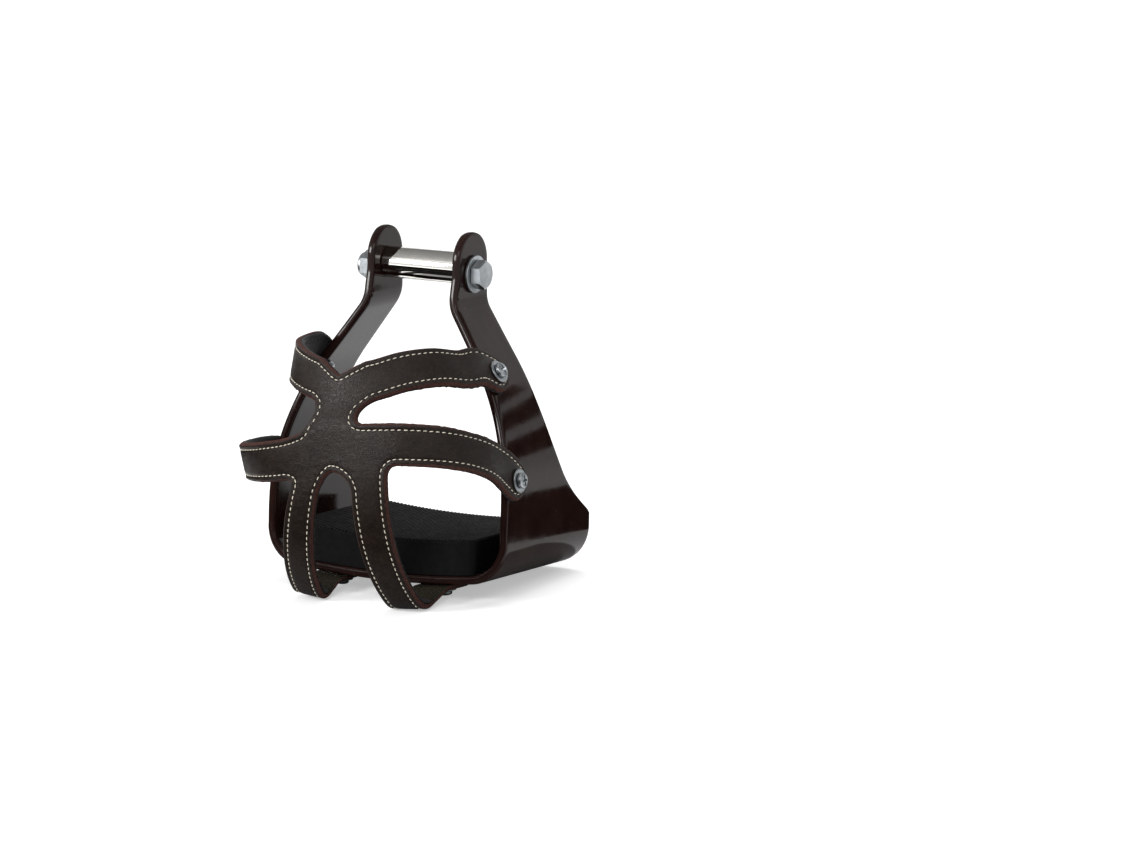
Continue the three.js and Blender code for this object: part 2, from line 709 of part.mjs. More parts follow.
// Point on an arm: along its rail from the middle, then across its width
function armPoint(rail, along, across) {
  const share = THREE.MathUtils.clamp(rail.middle + along / rail.length, 0, 1);
  const point = rail.curve.getPointAt(share);
  const tangent = rail.curve.getTangentAt(share);
  const lean = rail.leanAt(along);
  const inward = new THREE.Vector3(-tangent.y, tangent.x, 0).normalize();
  const width = new THREE.Vector3(0, 0, Math.cos(lean)).addScaledVector(inward, Math.sin(lean));
  width.addScaledVector(tangent, -width.dot(tangent)).normalize();
  return point.addScaledVector(width, across);
}

const upperArm = armRail({
  reach: upperReach,
  frontHeight: upperFrontHeight,
  screwHeight: upperScrewHeight,
  right: {
    shares: upperRightShares, rise: armRise, fall: upperArmFall, forward: upperRightScrewForward,
    leanShares: upperLeanShares, leans: upperRightLeans,
  },
  left: {
    shares: upperLeftShares, rise: armRise, fall: upperArmFall, forward: upperLeftScrewForward,
    leanShares: upperLeanShares, leans: upperLeftLeans,
  },
});
const lowerArm = armRail({
  reach: lowerReach,
  frontHeight: lowerFrontHeight,
  screwHeight: lowerScrewHeight,
  right: {
    shares: lowerRightShares, rise: lowerArmRise, fall: lowerRightArmFall, forward: lowerRightScrewForward,
    leanShares: lowerLeanShares, leans: lowerRightLeans,
  },
  left: {
    shares: lowerLeftShares, rise: lowerArmSag, fall: lowerLeftArmFall, forward: lowerLeftScrewForward,
    leanShares: lowerLeanShares, leans: lowerLeftLeans,
  },
});

function strapMiddle({ sign, strapInset, strapWidth }) {
  return sign * (strapInset + strapWidth / 2);
}

// Side view of a strap from the lower arm's edge: arcs and lines, each with its length and turn.
// The bow's radius follows from the drop down to the underside of the tread
function strapSegments(strap) {
  const along = strapMiddle(strap);
  const start = armPoint(lowerArm, along, -armWidth / 2);
  const startLean = lowerArm.leanAt(along);
  const lowest = leatherThickness + seamGap / 2 - strap.dropBelowTread;
  const turnLow = turnRadius * (1 - Math.sin(strapEndLean));
  const bowRadius = (start.z - lowest - turnLow) / (Math.sin(startLean) + Math.sin(strapEndLean));
  const level = strapTabLevel(strapTabX(strap));
  const bends = (turnRadius + returnBendRadius) * (1 - Math.cos(returnRise));
  const riser = (level - lowest - bends) / Math.sin(returnRise);
  const quarter = Math.PI / 2;
  return [
    { radius: bowRadius, turn: startLean + strapEndLean },
    { radius: turnRadius, turn: quarter + returnRise - strapEndLean },
    { length: riser, turn: 0 },
    { radius: returnBendRadius, turn: -returnRise },
    { length: strapTabLength, turn: 0 },
  ].map((segment) => ({ ...segment, length: segment.length ?? segment.radius * Math.abs(segment.turn) }));
}

// Seam height where a strap lies flat under the tread
function strapTabLevel(x) {
  return dishRise(x) - seatGap + seamGap / 2;
}

// A strap's side view with its start and its whole length
function strapShape(strap) {
  const along = strapMiddle(strap);
  const segments = strapSegments(strap);
  const length = segments.reduce((sum, segment) => sum + segment.length, 0);
  const shape = { ...strap, segments, length, startLean: lowerArm.leanAt(along) };
  return { ...shape, drop: strapOffset(shape, length).down, start: armPoint(lowerArm, along, -armWidth / 2) };
}

// Way back and down from the lower arm's edge after a length of strap
function strapOffset({ segments, startLean }, distance) {
  let heading = startLean;
  let back = 0;
  let down = 0;
  let left = distance;
  for (const { length, turn } of segments) {
    const run = Math.min(left, length);
    const turned = turn * (run / length);
    const chord = turned === 0 ? run : run * Math.sin(turned / 2) / (turned / 2);
    back -= chord * Math.sin(heading - turned / 2);
    down += chord * Math.cos(heading - turned / 2);
    heading -= turned;
    left -= run;
    if (left <= 0) {
      break;
    }
  }
  return { back, down };
}

const rightStrap = strapShape(rightSide);
const leftStrap = strapShape(leftSide);

function strapPoint(along, distance) {
  const strap = along < 0 ? leftStrap : rightStrap;
  const start = armPoint(lowerArm, along, -armWidth / 2);
  const inside = THREE.MathUtils.clamp(Math.abs(along) / strap.strapInset, 0, 1);
  const splay = strap.sign * strap.strapSplay;
  const wander = splay * inside * Math.sin((Math.PI / 2) * (distance / strap.length));
  const level = strapTabLevel(start.x + splay);
  const { back, down } = strapOffset(strap, distance);
  const drop = down * (start.z - level) / strap.drop;
  return new THREE.Vector3(start.x + wander, start.y + back, start.z - drop);
}

// The seam surface: pattern coordinates along the arms and up from the lower arm's centre line
function seamPoint(along, up) {
  const half = armWidth / 2;
  if (up < -half) {
    return strapPoint(along, -half - up);
  }
  if (up <= half) {
    return armPoint(lowerArm, along, up);
  }
  if (up >= railSpacing - half) {
    return armPoint(upperArm, along, up - railSpacing);
  }
  const share = (up - half) / (railSpacing - armWidth);
  return armPoint(lowerArm, along, half).lerp(armPoint(upperArm, along, -half), share);
}

function seamNormal(along, up) {
  const alongStep = seamPoint(along + slopeProbe, up).sub(seamPoint(along - slopeProbe, up));
  const upStep = seamPoint(along, up + slopeProbe).sub(seamPoint(along, up - slopeProbe));
  return alongStep.cross(upStep).normalize();
}

// One half of the cut pattern, from the middle of the V notch round to the arch
function patternHalf(strap, strapEnd) {
  const half = armWidth / 2;
  const top = railSpacing + half;
  const notch = (railSpacing - armWidth) / 2;
  const { strapInset } = strap;
  const strapOuter = strapInset + strap.strapWidth;
  const archCentre = -archTopDrop - archRound;
  const end = -half - strapEnd;
  const round = strap.strapWidth * strapCornerShare;
  const upperEnd = upperArm.reachOf(strap.sign) - half;
  const lowerRound = strap.lowerTabWidth / 2;
  const lowerEnd = lowerArm.reachOf(strap.sign) - lowerRound;
  const path = new THREE.Path();
  path.moveTo(0, top - vNotchDepth);
  path.quadraticCurveTo(vNotchHalfWidth / 2, top - vNotchDepth / 3, vNotchHalfWidth, top);
  path.lineTo(upperEnd, top);
  path.absarc(upperEnd, railSpacing, half, Math.PI / 2, -Math.PI / 2, true);
  path.lineTo(strap.notchInset + notch, railSpacing - half);
  path.absarc(strap.notchInset + notch, railSpacing / 2, notch, Math.PI / 2, 1.5 * Math.PI, false);
  path.lineTo(lowerEnd, lowerRound);
  path.absarc(lowerEnd, 0, lowerRound, Math.PI / 2, -Math.PI / 2, true);
  path.lineTo(strapOuter + strapFillet, -half);
  path.absarc(strapOuter + strapFillet, -half - strapFillet, strapFillet, Math.PI / 2, Math.PI, false);
  path.lineTo(strapOuter, end + round);
  path.absarc(strapOuter - round, end + round, round, 0, -Math.PI / 2, true);
  path.absarc(strapInset + round, end + round, round, -Math.PI / 2, -Math.PI, true);
  path.lineTo(strapInset, archCentre);
  path.absellipse(0, archCentre, strapInset, archRound, 0, Math.PI / 2, false);
  return path.getPoints(2 * cornerSteps).map(({ x, y }) => new THREE.Vector2(strap.sign * x, stretchTurn(y)));
}

// Splits the long sides of an outline so that it can bend
function evenly(points, step) {
  return points.flatMap((point, i) => {
    const next = points[(i + 1) % points.length];
    const parts = Math.max(1, Math.round(point.distanceTo(next) / step));
    return Array.from({ length: parts }, (_, part) => point.clone().lerp(next, part / parts));
  });
}

// The whole pattern; each strap ends after the given number of its segments
function patternOutline(segmentCount) {
  const [right, left] = [rightStrap, leftStrap].map((strap) => {
    const ending = strap.segments.slice(0, segmentCount).reduce((sum, { length }) => sum + length, 0);
    return patternHalf(strap, ending);
  });
  return evenly(dropRepeats([...right, ...left.slice(1, -1).reverse()]), leatherFacet);
}

function dropRepeats(points) {
  const nearly = leatherFacet / 100;
  return points.filter((point, i) => point.distanceTo(points[(i + 1) % points.length]) > nearly);
}

// The flat pattern is drawn out where the straps turn, so that its facets get finer there
const turnStart = -armWidth / 2 - Math.min(leftStrap.segments[0].length, rightStrap.segments[0].length);

function stretchTurn(up) {
  return up < turnStart ? turnStart + (up - turnStart) * turnStretch : up;
}

function unstretchTurn(up) {
  return up < turnStart ? turnStart + (up - turnStart) / turnStretch : up;
}

// Twice the signed area of a triangle
function doubleArea(a, b, c) {
  return (b.x - a.x) * (c.y - a.y) - (b.y - a.y) * (c.x - a.x);
}

// Staggered rows of points inside an outline, clear of its edge
function innerPoints(outline, spacing) {
  const box = new THREE.Box2().setFromPoints(outline);
  const rowStep = spacing * Math.sin(Math.PI / 3);
  const clear = spacing * leatherEdgeShare;
  const points = [];
  for (let row = Math.ceil(box.min.y / rowStep); row * rowStep < box.max.y; row += 1) {
    const shift = leatherRowShares[Math.abs(row % 2)];
    for (let column = Math.floor(box.min.x / spacing); column * spacing < box.max.x; column += 1) {
      const point = new THREE.Vector2((column + shift) * spacing, row * rowStep);
      if (isInside(point, outline) && outline.every((corner) => corner.distanceTo(point) > clear)) {
        points.push(point);
      }
    }
  }
  return points;
}

function isInside(point, outline) {
  let inside = false;
  for (let i = 0, j = outline.length - 1; i < outline.length; j = i, i += 1) {
    const [a, b] = [outline[i], outline[j]];
    const crosses = a.y > point.y !== b.y > point.y;
    if (crosses && point.x < ((b.x - a.x) * (point.y - a.y)) / (b.y - a.y) + a.x) {
      inside = !inside;
    }
  }
  return inside;
}

// Even triangles over an outline: its own triangles, split at inner points, then their shared
// edges are swapped for the shorter way across until every triangle is as round as it can be
function evenTriangles(outline, spacing) {
  const points = [...outline];
  let triangles = THREE.ShapeUtils.triangulateShape(outline, []);
  triangles = triangles.map((t) => (doubleArea(...t.map((i) => points[i])) > 0 ? t : [t[0], t[2], t[1]]));
  for (const point of innerPoints(outline, spacing)) {
    const [a, b, c] = takeTriangleAt(point, points, triangles);
    const added = points.push(point) - 1;
    triangles.push([a, b, added], [b, c, added], [c, a, added]);
  }
  const limit = points.length;
  for (let pass = 0; pass < limit && swapEdges(points, triangles) > 0; pass += 1);
  return { points, triangles };
}

function takeTriangleAt(point, points, triangles) {
  const depths = triangles.map(([a, b, c]) => Math.min(
    doubleArea(points[a], points[b], point),
    doubleArea(points[b], points[c], point),
    doubleArea(points[c], points[a], point),
  ));
  const found = depths.findIndex((depth) => depth >= 0);
  return triangles.splice(found, 1)[0];
}

function cornerAngle(corner, a, b) {
  const toA = a.clone().sub(corner);
  const toB = b.clone().sub(corner);
  return Math.acos(THREE.MathUtils.clamp(toA.dot(toB) / (toA.length() * toB.length()), -1, 1));
}

// One pass over the shared edges; returns how many were swapped
function swapEdges(points, triangles) {
  const seen = new Map();
  const touched = new Set();
  let swaps = 0;
  for (let t = 0; t < triangles.length; t += 1) {
    for (let corner = 0; corner < 3 && !touched.has(t); corner += 1) {
      const a = triangles[t][corner];
      const b = triangles[t][(corner + 1) % 3];
      const key = a < b ? `${a} ${b}` : `${b} ${a}`;
      const other = seen.get(key);
      if (other === undefined) {
        seen.set(key, t);
      } else if (!touched.has(other) && swapEdge(points, triangles, t, other, a, b)) {
        touched.add(t).add(other);
        swaps += 1;
      }
    }
  }
  return swaps;
}

function swapEdge(points, triangles, first, second, a, b) {
  const c = triangles[first].find((i) => i !== a && i !== b);
  const d = triangles[second].find((i) => i !== a && i !== b);
  const [pa, pb, pc, pd] = [a, b, c, d].map((i) => points[i]);
  const sharp = cornerAngle(pc, pa, pb) + cornerAngle(pd, pa, pb);
  const roundOff = 1e-6;
  if (sharp <= Math.PI + roundOff || doubleArea(pd, pb, pc) <= 0 || doubleArea(pd, pc, pa) <= 0) {
    return false;
  }
  triangles[first] = [d, b, c];
  triangles[second] = [d, c, a];
  return true;
}

// One layer of the cage: the flat pattern, bent on to the seam surface
function cageLayer(segmentCount, inner, outer) {
  const outline = patternOutline(segmentCount);
  if (THREE.ShapeUtils.isClockWise(outline)) {
    outline.reverse();
  }
  const { points, triangles } = evenTriangles(outline, leatherFacet);
  const face = (offset) => points.map(({ x, y }) => {
    const up = unstretchTurn(y);
    return seamPoint(x, up).addScaledVector(seamNormal(x, up), offset);
  });
  const count = points.length;
  const index = triangles.flatMap(([a, b, c]) => [a + count, b + count, c + count, a, c, b]);
  outline.forEach((_, i) => {
    const next = (i + 1) % outline.length;
    index.push(i, next, next + count, i, next + count, i + count);
  });
  const geometry = new THREE.BufferGeometry().setFromPoints([...face(inner), ...face(outer)]);
  geometry.setIndex(index);
  return toSolid(geometry);
}

function screwed(solid, seats) {
  let cut = solid;
  for (const { point, normal, grip } of seats) {
    cut = cut.subtract(screwHole(2 * grip, point, normal));
  }
  return cut;
}

function cageLeather() {
  const layer = cageLayer(rightStrap.segments.length, seamGap / 2, seamGap / 2 + leatherThickness);
  const solid = screwed(layer, [...armScrewSeats(), ...strapScrewSeats()]);
  return piece("cage_leather", "leather", toGeometry(solid));
}

// The backing stops in the turn, so that only the leather goes under the tread
function cageBacking() {
  const bowAndTurn = 2;
  const layer = cageLayer(bowAndTurn, -seamGap / 2 - backingThickness, -seamGap / 2);
  return piece("cage_backing", "backing", toGeometry(screwed(layer, armScrewSeats())));
}

// Screws

// Lower end of a shank's half profile, with its tip chamfered
function shankTip(radius, length) {
  const tipRadius = radius * screwTipShare;
  return [[0, -length], [tipRadius, -length], [radius, radius - tipRadius - length]];
}

// Pan head with a cross recess on a round shank, seated at y = 0 with the head above
function panScrew(grip, headSeat) {
  const headRadius = screwHeadDiameter / 2;
  const shankRadius = screwDiameter / 2;
  const head = panHeadShares.map(([out, up]) => [out * headRadius, headSeat + up * screwHeadHeight]);
  const outline = [...shankTip(shankRadius, grip), [shankRadius, headSeat], ...head];
  const turned = new THREE.LatheGeometry(outline.map(([r, y]) => new THREE.Vector2(r, y)), smallSegments);
  const top = headSeat + screwHeadHeight;
  const recess = (width, depth) => {
    const slot = new THREE.BoxGeometry(width, 2 * crossRecessDepth, depth).translate(0, top, 0);
    return toSolid(slot);
  };
  return toSolid(turned)
    .subtract(recess(crossRecessWidth, crossRecessSpan))
    .subtract(recess(crossRecessSpan, crossRecessWidth));
}

function washeredScrew(seat) {
  const headSeat = seatGap + screwWasherThickness + seatGap;
  const washer = ring(screwDiameter / 2 + boreClearance, screwWasherDiameter / 2, screwWasherThickness);
  washer.translate(0, seatGap, 0);
  const screw = toGeometry(panScrew(seat.grip, headSeat));
  return [
    piece(`${seat.name}_washer`, "zinc", aimed(washer, seat.point, seat.normal)),
    piece(`${seat.name}_screw`, "zinc", aimed(screw, seat.point, seat.normal)),
  ];
}

function padScrew({ name, point, normal }) {
  const { headRadius, shankRadius, depth } = countersink(0);
  const sunk = seatGap / 2;
  const length = barThickness + padScrewGrip;
  const head = [[shankRadius, -depth - sunk], [headRadius, -sunk], [0, -sunk]];
  const outline = [...shankTip(shankRadius, length), ...head];
  const turned = new THREE.LatheGeometry(outline.map(([r, y]) => new THREE.Vector2(r, y)), smallSegments);
  return piece(`pad_screw_${name}`, "zinc", aimed(turned, point, normal));
}

// Assembly, upright on its roller axis

function upright() {
  const group = new THREE.Group();
  group.add(frame(), roller(), rollerBolt(), boltWasher("bolt_head_washer", 1), boltWasher("nut_washer", -1));
  group.add(lockNut(), lockNutInsert(), pad(), cageLeather(), cageBacking());
  for (const seat of [...armScrewSeats(), ...strapScrewSeats()]) {
    group.add(...washeredScrew(seat));
  }
  for (const seat of padScrewSeats()) {
    group.add(padScrew(seat));
  }
  return group;
}

// Lean at which the rounded rear edge of the tread and a strap's turn both touch the ground
function restingLean(strap) {
  const rear = { y: treadRear - barEdgeRadius, z: barEdgeRadius, radius: barEdgeRadius };
  const outerTurn = turnRadius + leatherThickness + seamGap / 2;
  const bow = strapOffset(strap, strap.segments[0].length);
  const turnY = strap.start.y + bow.back + turnRadius * Math.cos(strapEndLean);
  const turn = { y: turnY, z: outerTurn - strap.dropBelowTread, radius: outerTurn };
  const span = Math.hypot(rear.y - turn.y, rear.z - turn.z);
  const slope = Math.atan2(rear.z - turn.z, rear.y - turn.y);
  return Math.asin((rear.radius - turn.radius) / span) - slope;
}

// At rest the stirrup leans back on the rear edge of the tread and the turns of the straps
const stirrup = new THREE.Group();
const leaning = upright();
leaning.rotation.x = Math.min(restingLean(rightStrap), restingLean(leftStrap));
stirrup.add(leaning);
const bounds = new THREE.Box3().setFromObject(stirrup, true);
leaning.position.y = -(bounds.min.y + bounds.max.y) / 2;
leaning.position.z = -bounds.min.z;

export default stirrup;
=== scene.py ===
"""The looks of a western cage stirrup: gloss enamel frame, chrome roller, zinc hardware,
ribbed rubber tread and a stitched leather toe cage. Shapes are worked out in millimetres in
the stirrup's upright frame, with the toe cage at -Y, and then leaned back as it stands."""

from math import asin, atan2, cos, hypot, pi, radians, sin, sqrt, tan

import bpy
import numpy as np
from mathutils import Matrix, Vector
from mathutils.geometry import delaunay_2d_cdt

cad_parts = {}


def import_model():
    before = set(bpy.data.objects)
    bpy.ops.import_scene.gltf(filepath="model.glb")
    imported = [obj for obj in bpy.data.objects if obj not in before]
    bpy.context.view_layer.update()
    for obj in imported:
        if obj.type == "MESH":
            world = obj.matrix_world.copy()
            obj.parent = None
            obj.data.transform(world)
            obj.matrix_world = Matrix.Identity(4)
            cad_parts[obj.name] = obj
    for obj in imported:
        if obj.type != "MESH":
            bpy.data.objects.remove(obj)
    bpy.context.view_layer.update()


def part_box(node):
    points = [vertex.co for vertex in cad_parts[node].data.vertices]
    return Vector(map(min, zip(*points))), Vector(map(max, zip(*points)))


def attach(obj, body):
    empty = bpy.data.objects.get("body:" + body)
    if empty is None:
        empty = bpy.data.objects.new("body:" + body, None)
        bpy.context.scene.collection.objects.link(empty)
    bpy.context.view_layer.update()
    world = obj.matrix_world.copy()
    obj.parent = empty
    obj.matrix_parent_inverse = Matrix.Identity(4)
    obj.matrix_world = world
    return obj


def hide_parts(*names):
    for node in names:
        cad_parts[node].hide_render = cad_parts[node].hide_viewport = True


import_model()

MM = 0.001
BODY = "stirrup"

# Clearances, shared by pieces that rest on each other
SEAT_GAP = 0.35
BORE_CLEARANCE = 0.3

# Frame bar
BAR_THICKNESS = 4.5
BAR_EDGE_RADIUS = 1.8
FRAME_WIDTH = 139.5
DISH_RADIUS = 468
TREAD_BEND_RADIUS = 16
TREAD_FRONT = 40
TREAD_REAR = 49.2
LEG_FOOT_FRONT = 37
WING_HEIGHT = 30.5
LEG_FOOT_HEIGHT = 36
LEG_BOW_RADIUS = 130
NECK_BEND_RADIUS = 16
SLOT_WIDTH = 45
BOLT_HEIGHT = 153.4
EAR_FOOT = 10.3
EAR_RADIUS = 15
EAR_RISE = 6.1
EAR_CROWN_SHARE = 0.97
LEG_FRONT_SHARES = [
    (0, 1), (0.09, 0.965), (0.16, 0.918), (0.24, 0.845), (0.34, 0.736), (0.44, 0.615),
    (0.55, 0.482), (0.7, 0.3), (0.83, 0.165), (0.92, 0.09), (1, 0),
]
LEG_REAR_SHARES = [
    (0, 1), (0.045, 0.76), (0.094, 0.527), (0.16, 0.305), (0.24, 0.155), (0.34, 0.035),
    (0.44, -0.03), (0.55, -0.053), (0.7, -0.035), (0.83, -0.006), (0.92, 0.018), (1, 0),
]

# Roller, bolt and lock nut
ROLLER_DIAMETER = 16
ROLLER_WALL = 1.2
ROLLER_END_PLAY = 0.35
ROLLER_RIM = 0.4
BOLT_DIAMETER = 8
BOLT_THREAD = dict(pitch=1.25, depth=0.45, tip_share=0.8)
HEX_ACROSS_FLATS = 13
HEX_CHAMFER = radians(30)
HEX_FACE_SHARE = 0.97
BOLT_HEAD_HEIGHT = 5.3
BOLT_HEAD_OVERLAP = 1
BOLT_WASHER_DIAMETER = 19
BOLT_WASHER_THICKNESS = 1.6
BOLT_WASHER_RIM = 0.3
NUT_HEIGHT = 6.5
NUT_BORE_CLEARANCE = 0.1
NUT_COLLAR_DIAMETER = 12
NUT_COLLAR_HEIGHT = 2
NUT_COLLAR_WALL = 0.9
NUT_COLLAR_FOOT = 0.3
NUT_COLLAR_ROUND = 0.3
NUT_LIP_CORNERS = (     # inward from the collar's side and down from its top
    (0, 0.9), (0.35, 0.25), (NUT_COLLAR_WALL, 0), (NUT_COLLAR_WALL + 0.25, 0.2), (NUT_COLLAR_WALL, 0.5),
)
INSERT_THICKNESS = 1.5
INSERT_CLEARANCE = 0.02
INSERT_TOP_DROPS = (0.45, 0.2)      # at its rim and at its bore
INSERT_ROUND = 0.25
BOLT_END_BEYOND_INSERT = 0.8
BOLT_CORE_RADIUS = 0.05     # stands for the bolt's axis

# Rubber pad
PAD_SIDE_GAP = 12.25
PAD_FRONT = 39.5
PAD_REAR = 46.5
PAD_THICKNESS = 17
PAD_CORNER_RADIUS = 3
PAD_RIB_PITCH = 2.12
PAD_RIB_HEIGHT = 0.9
PAD_EDGE_ROUND = 0.5
PAD_RIB_SHARES = [
    (0, 0), (0.06, 0.35), (0.2, 0.94), (0.28, 1), (0.52, 1), (0.6, 0.94), (0.74, 0.35), (0.8, 0),
]

# Toe cage
LEATHER_THICKNESS = 2.6
BACKING_THICKNESS = 1.7
SEAM_GAP = 0.3
ARM_WIDTH = 20.5
RAIL_SPACING = 32
V_NOTCH_DEPTH = 6.5
V_NOTCH_HALF_WIDTH = 15
ARCH_TOP_DROP = 13.2
ARCH_ROUND = 10
STRAP_FILLET = 5
STRAP_CORNER_SHARE = 0.25
TAB_INSET = 9
TAB_RUN = 12
TAB_LEAN_SHARE = 0.85
STRAP_END_LEAN = radians(50)
TURN_RADIUS = 12
RETURN_RISE = radians(22)
RETURN_BEND_RADIUS = 10
STRAP_TAB_LENGTH = 22
STRAP_SCREW_FORWARD = 30
RIGHT = dict(side="right", sign=1, inset=14, width=18.5, splay=6.4, drop=8.4, notch=13, tab=ARM_WIDTH)
LEFT = dict(side="left", sign=-1, inset=6, width=17.5, splay=20, drop=7.45, notch=8.5, tab=16.5)
STRAPS = (RIGHT, LEFT)

# Arms of the cage. Shares are of the leg's place, the reach and the rise; leans and falls are
# in degrees, and lean_shares are of the way from the middle to the arm's end
UPPER_ARMS = dict(
    reach=84, front_height=105.6, screw_height=104.6, lean_shares=(0, 0.3, 0.6),
    right=dict(rise=8.3, fall=22, forward=20.5, leans=(14, 29, 36), shares=[
        (0.3, 0.958, 0.22), (0.57, 0.852, 0.8), (0.77, 0.696, 0.98), (0.9, 0.51, 0.72)]),
    left=dict(rise=8.3, fall=22, forward=18, leans=(14, 14, 9), shares=[
        (0.3, 0.958, 0.12), (0.57, 0.852, 0.38), (0.77, 0.696, 0.58), (0.9, 0.51, 0.64)]),
)
LOWER_ARMS = dict(
    reach=93.5, front_height=75.2, screw_height=55.5, lean_shares=(0, 0.28, 0.6),
    right=dict(rise=3.3, fall=36, forward=31.5, leans=(8, 12, 24), shares=[
        (0.295, 0.991, 0.64), (0.58, 0.937, 1), (0.82, 0.806, 0.48), (0.95, 0.612, -1.2)]),
    left=dict(rise=18, fall=8, forward=22, leans=(8, 0, -13), shares=[
        (0.295, 0.991, -0.45), (0.58, 0.937, -0.7), (0.82, 0.806, -0.85), (0.95, 0.612, -0.92)]),
)

# Leather finish
OUTLINE_STEP = 1.3
RIM_ROWS = (0.35, 0.75, 1.05, 1.3, 1.8, 2.3, 2.65, 3, 3.35, 3.8, 4.6)
ROW_TOLERANCE = 0.05
INNER_SPACING = 2.6
INNER_ROW_SHARE = 0.87
SAME_PLACE = 1e-6
BEVEL_WIDTH = 1.1
BEVEL_DEPTH_SHARE = 0.5
BEVEL_POWER = 1.5
RAW_REACH_SHARE = 1.25
SEAM_GROOVE = 0.35
SEAM_GROOVE_WIDTH = 0.75
EDGE_BULGE = 0.18
EDGE_RING_SHARES = ((0.75, 0.7), (0.45, 1.0), (0.15, 0.6))      # of the height and of the bulge
EDGE_ROUGHNESS_SHARE = 0.5
EDGE_SEED = 7
STITCH_INSET = 3
STITCH_PITCH = 3
STITCH_LENGTH = 2.35
THREAD_WIDTH = 0.48
THREAD_HEIGHT = 0.42
STITCH_SLANT = radians(5)
STITCH_WANDER = 0.04
STITCH_SEED = 3
STITCH_TOLERANCE = 0.1
STITCH_ROWS = 7
STITCH_TURNS = 10
STITCH_TAPER_POWER = 2.6
STITCH_END_SHARE = 0.06
STITCH_SINK_SHARE = 0.9

# Cage and pad screws
SCREW_DIAMETER = 4
SCREW_HEAD_DIAMETER = 8
SCREW_HEAD_HEIGHT = 2.3
SCREW_HEAD_FOOT_CUT = (0.2, 0.25)       # inward and upward
SCREW_HEAD_RIM_SHARE = 0.4
SCREW_HEAD_DOME_POWERS = (0.55, 0.9)    # across and upward
SCREW_HEAD_OVERLAP = 0.2
SCREW_TIP_BEYOND_LEG = 3
SCREW_WASHER_DIAMETER = 12
SCREW_WASHER_THICKNESS = 0.8
SCREW_WASHER_RIM = 0.25
SCREW_THREAD = dict(pitch=0.9, depth=0.35, tip_share=0.75)
SCREW_CORE_RADIUS = 0.02    # stands for a head's axis
STRAP_SCREW_GRIP = 8
CROSS_WIDTH = 1.2
CROSS_SPAN = 4.8
CROSS_DEPTH = 1.5
CROSS_OVERRUN = 0.5
CROSS_FLOOR_SHARES = (0.6, 0.8)
PAD_SCREW_DIAMETER = 5
PAD_SCREW_HEAD_DIAMETER = 9.5
PAD_SCREW_SPREAD = 30
PAD_SCREW_BEHIND = 30
PAD_SCREW_GRIP = 9
PAD_SCREW_RIM = 0.1

# Camera: the photograph's frame in pixels, and where the stirrup's middle lies in it
PHOTO_SIZE = (1140, 855)
FOCAL_PIXELS = 8000
TARGET_PIXEL = (424.65, 413.61)
TARGET = Vector((0, 0.02786, 0.08388))
CAMERA_DISTANCE = 4.044
CAMERA_AZIMUTH = radians(29.61)
CAMERA_ELEVATION = radians(12.53)
CAMERA_ROLL = radians(-1.13)
SENSOR_WIDTH = 36

# Studio, in metres, degrees and watts: the floor and sky, cards round the set, and lamps
FLOOR_SPAN = 12
FLOOR_TONE = 0.8
FLOOR_GLOW = 0.42
SKY_LIGHT = 0.55
CARD_TONES = dict(dark_card=25, grey_card=150)
WHOLE_BOARD = [(0.0, 0.132)]
SLOTTED_BOARDS = [(0.0, 0.037), (0.072, 0.091), (0.101, 0.118)]
TOP_BOARD = [(0.126, 0.136)]
STANDING_CARDS = (
    dict(azimuth=150, distance=0.16, width=0.18, aside=-0.06, boards=SLOTTED_BOARDS),
    dict(azimuth=-150, distance=0.16, width=0.18, aside=0.06, boards=SLOTTED_BOARDS),
    dict(azimuth=150, distance=0.16, width=0.13, aside=-0.085, boards=TOP_BOARD),
    dict(azimuth=-150, distance=0.16, width=0.13, aside=0.085, boards=TOP_BOARD),
    dict(azimuth=30, distance=0.16, width=0.24, aside=0.03, boards=WHOLE_BOARD),
    dict(azimuth=-30, distance=0.16, width=0.24, aside=-0.03, boards=WHOLE_BOARD),
    dict(azimuth=-90, distance=0.24, width=0.24, aside=0, boards=WHOLE_BOARD),
)
LEVEL_CARDS = (
    dict(name="card_overhead", size=(3.0, 3.4), back=0.8, height=1.2, material="grey_card"),
    dict(name="card_lying", size=(0.26, 0.14), back=-0.15, height=0.0005, material="dark_card"),
    # The grey card under the stirrup shows only in gloss: a painted shadow that stands in for the shaded
    # floor under the stirrup in reflections.
    dict(name="shadow_card_under", size=(0.2, 0.16), back=0, height=0.0005, material="grey_card"),
)
LAMPS = (
    dict(name="key", place=(0.9, -1.3, 1.3), aim=(0, 0, 0.09), size=(0.9, 0.7), power=8),
    dict(name="fill", place=(-0.83, -1.29, 0.72), aim=(0, 0, 0.09), size=(0.5, 0.5), power=21),
    dict(name="top", place=(0.1, 0.5, 1.7), aim=(0, 0, 0.1), size=(1.2, 0.8), power=12),
)

# Smoothness: points round circles and along curves
ROUND_SEGMENTS = 96
SCREW_SEGMENTS = 64
SCREW_DOME_POINTS = 9
THREAD_SEGMENTS = 48
THREAD_STEPS = 6
CORNER_STEPS = 6
CURVE_STEPS = 60
BAR_STEPS = dict(tread=20, bend=18, foot=6, leg=36, shoulder=10, neck=14, ear=6)
EAR_ROUND_POINTS = 15
EAR_CROWN_POINTS = 8
PAD_RIM_POINTS = 4
PAD_TOP_ROWS = 10
PATTERN_POINTS = dict(dip=8, end=24, fillet=16, corner=8, arch=20)

# Threads: how steep their flanks are, how flat their crests, and how narrow their tips end
THREAD_FLANK = 1.4
THREAD_CREST = 0.2
THREAD_END_SHARE = 0.9

# Guards of the curves
LEAST_TURN = 1e-9           # stands for none where a bend is divided by its turn
SIDES_PER_CORNER = 2.01     # a rounded corner takes less than half of each side


# Placing and mesh helpers

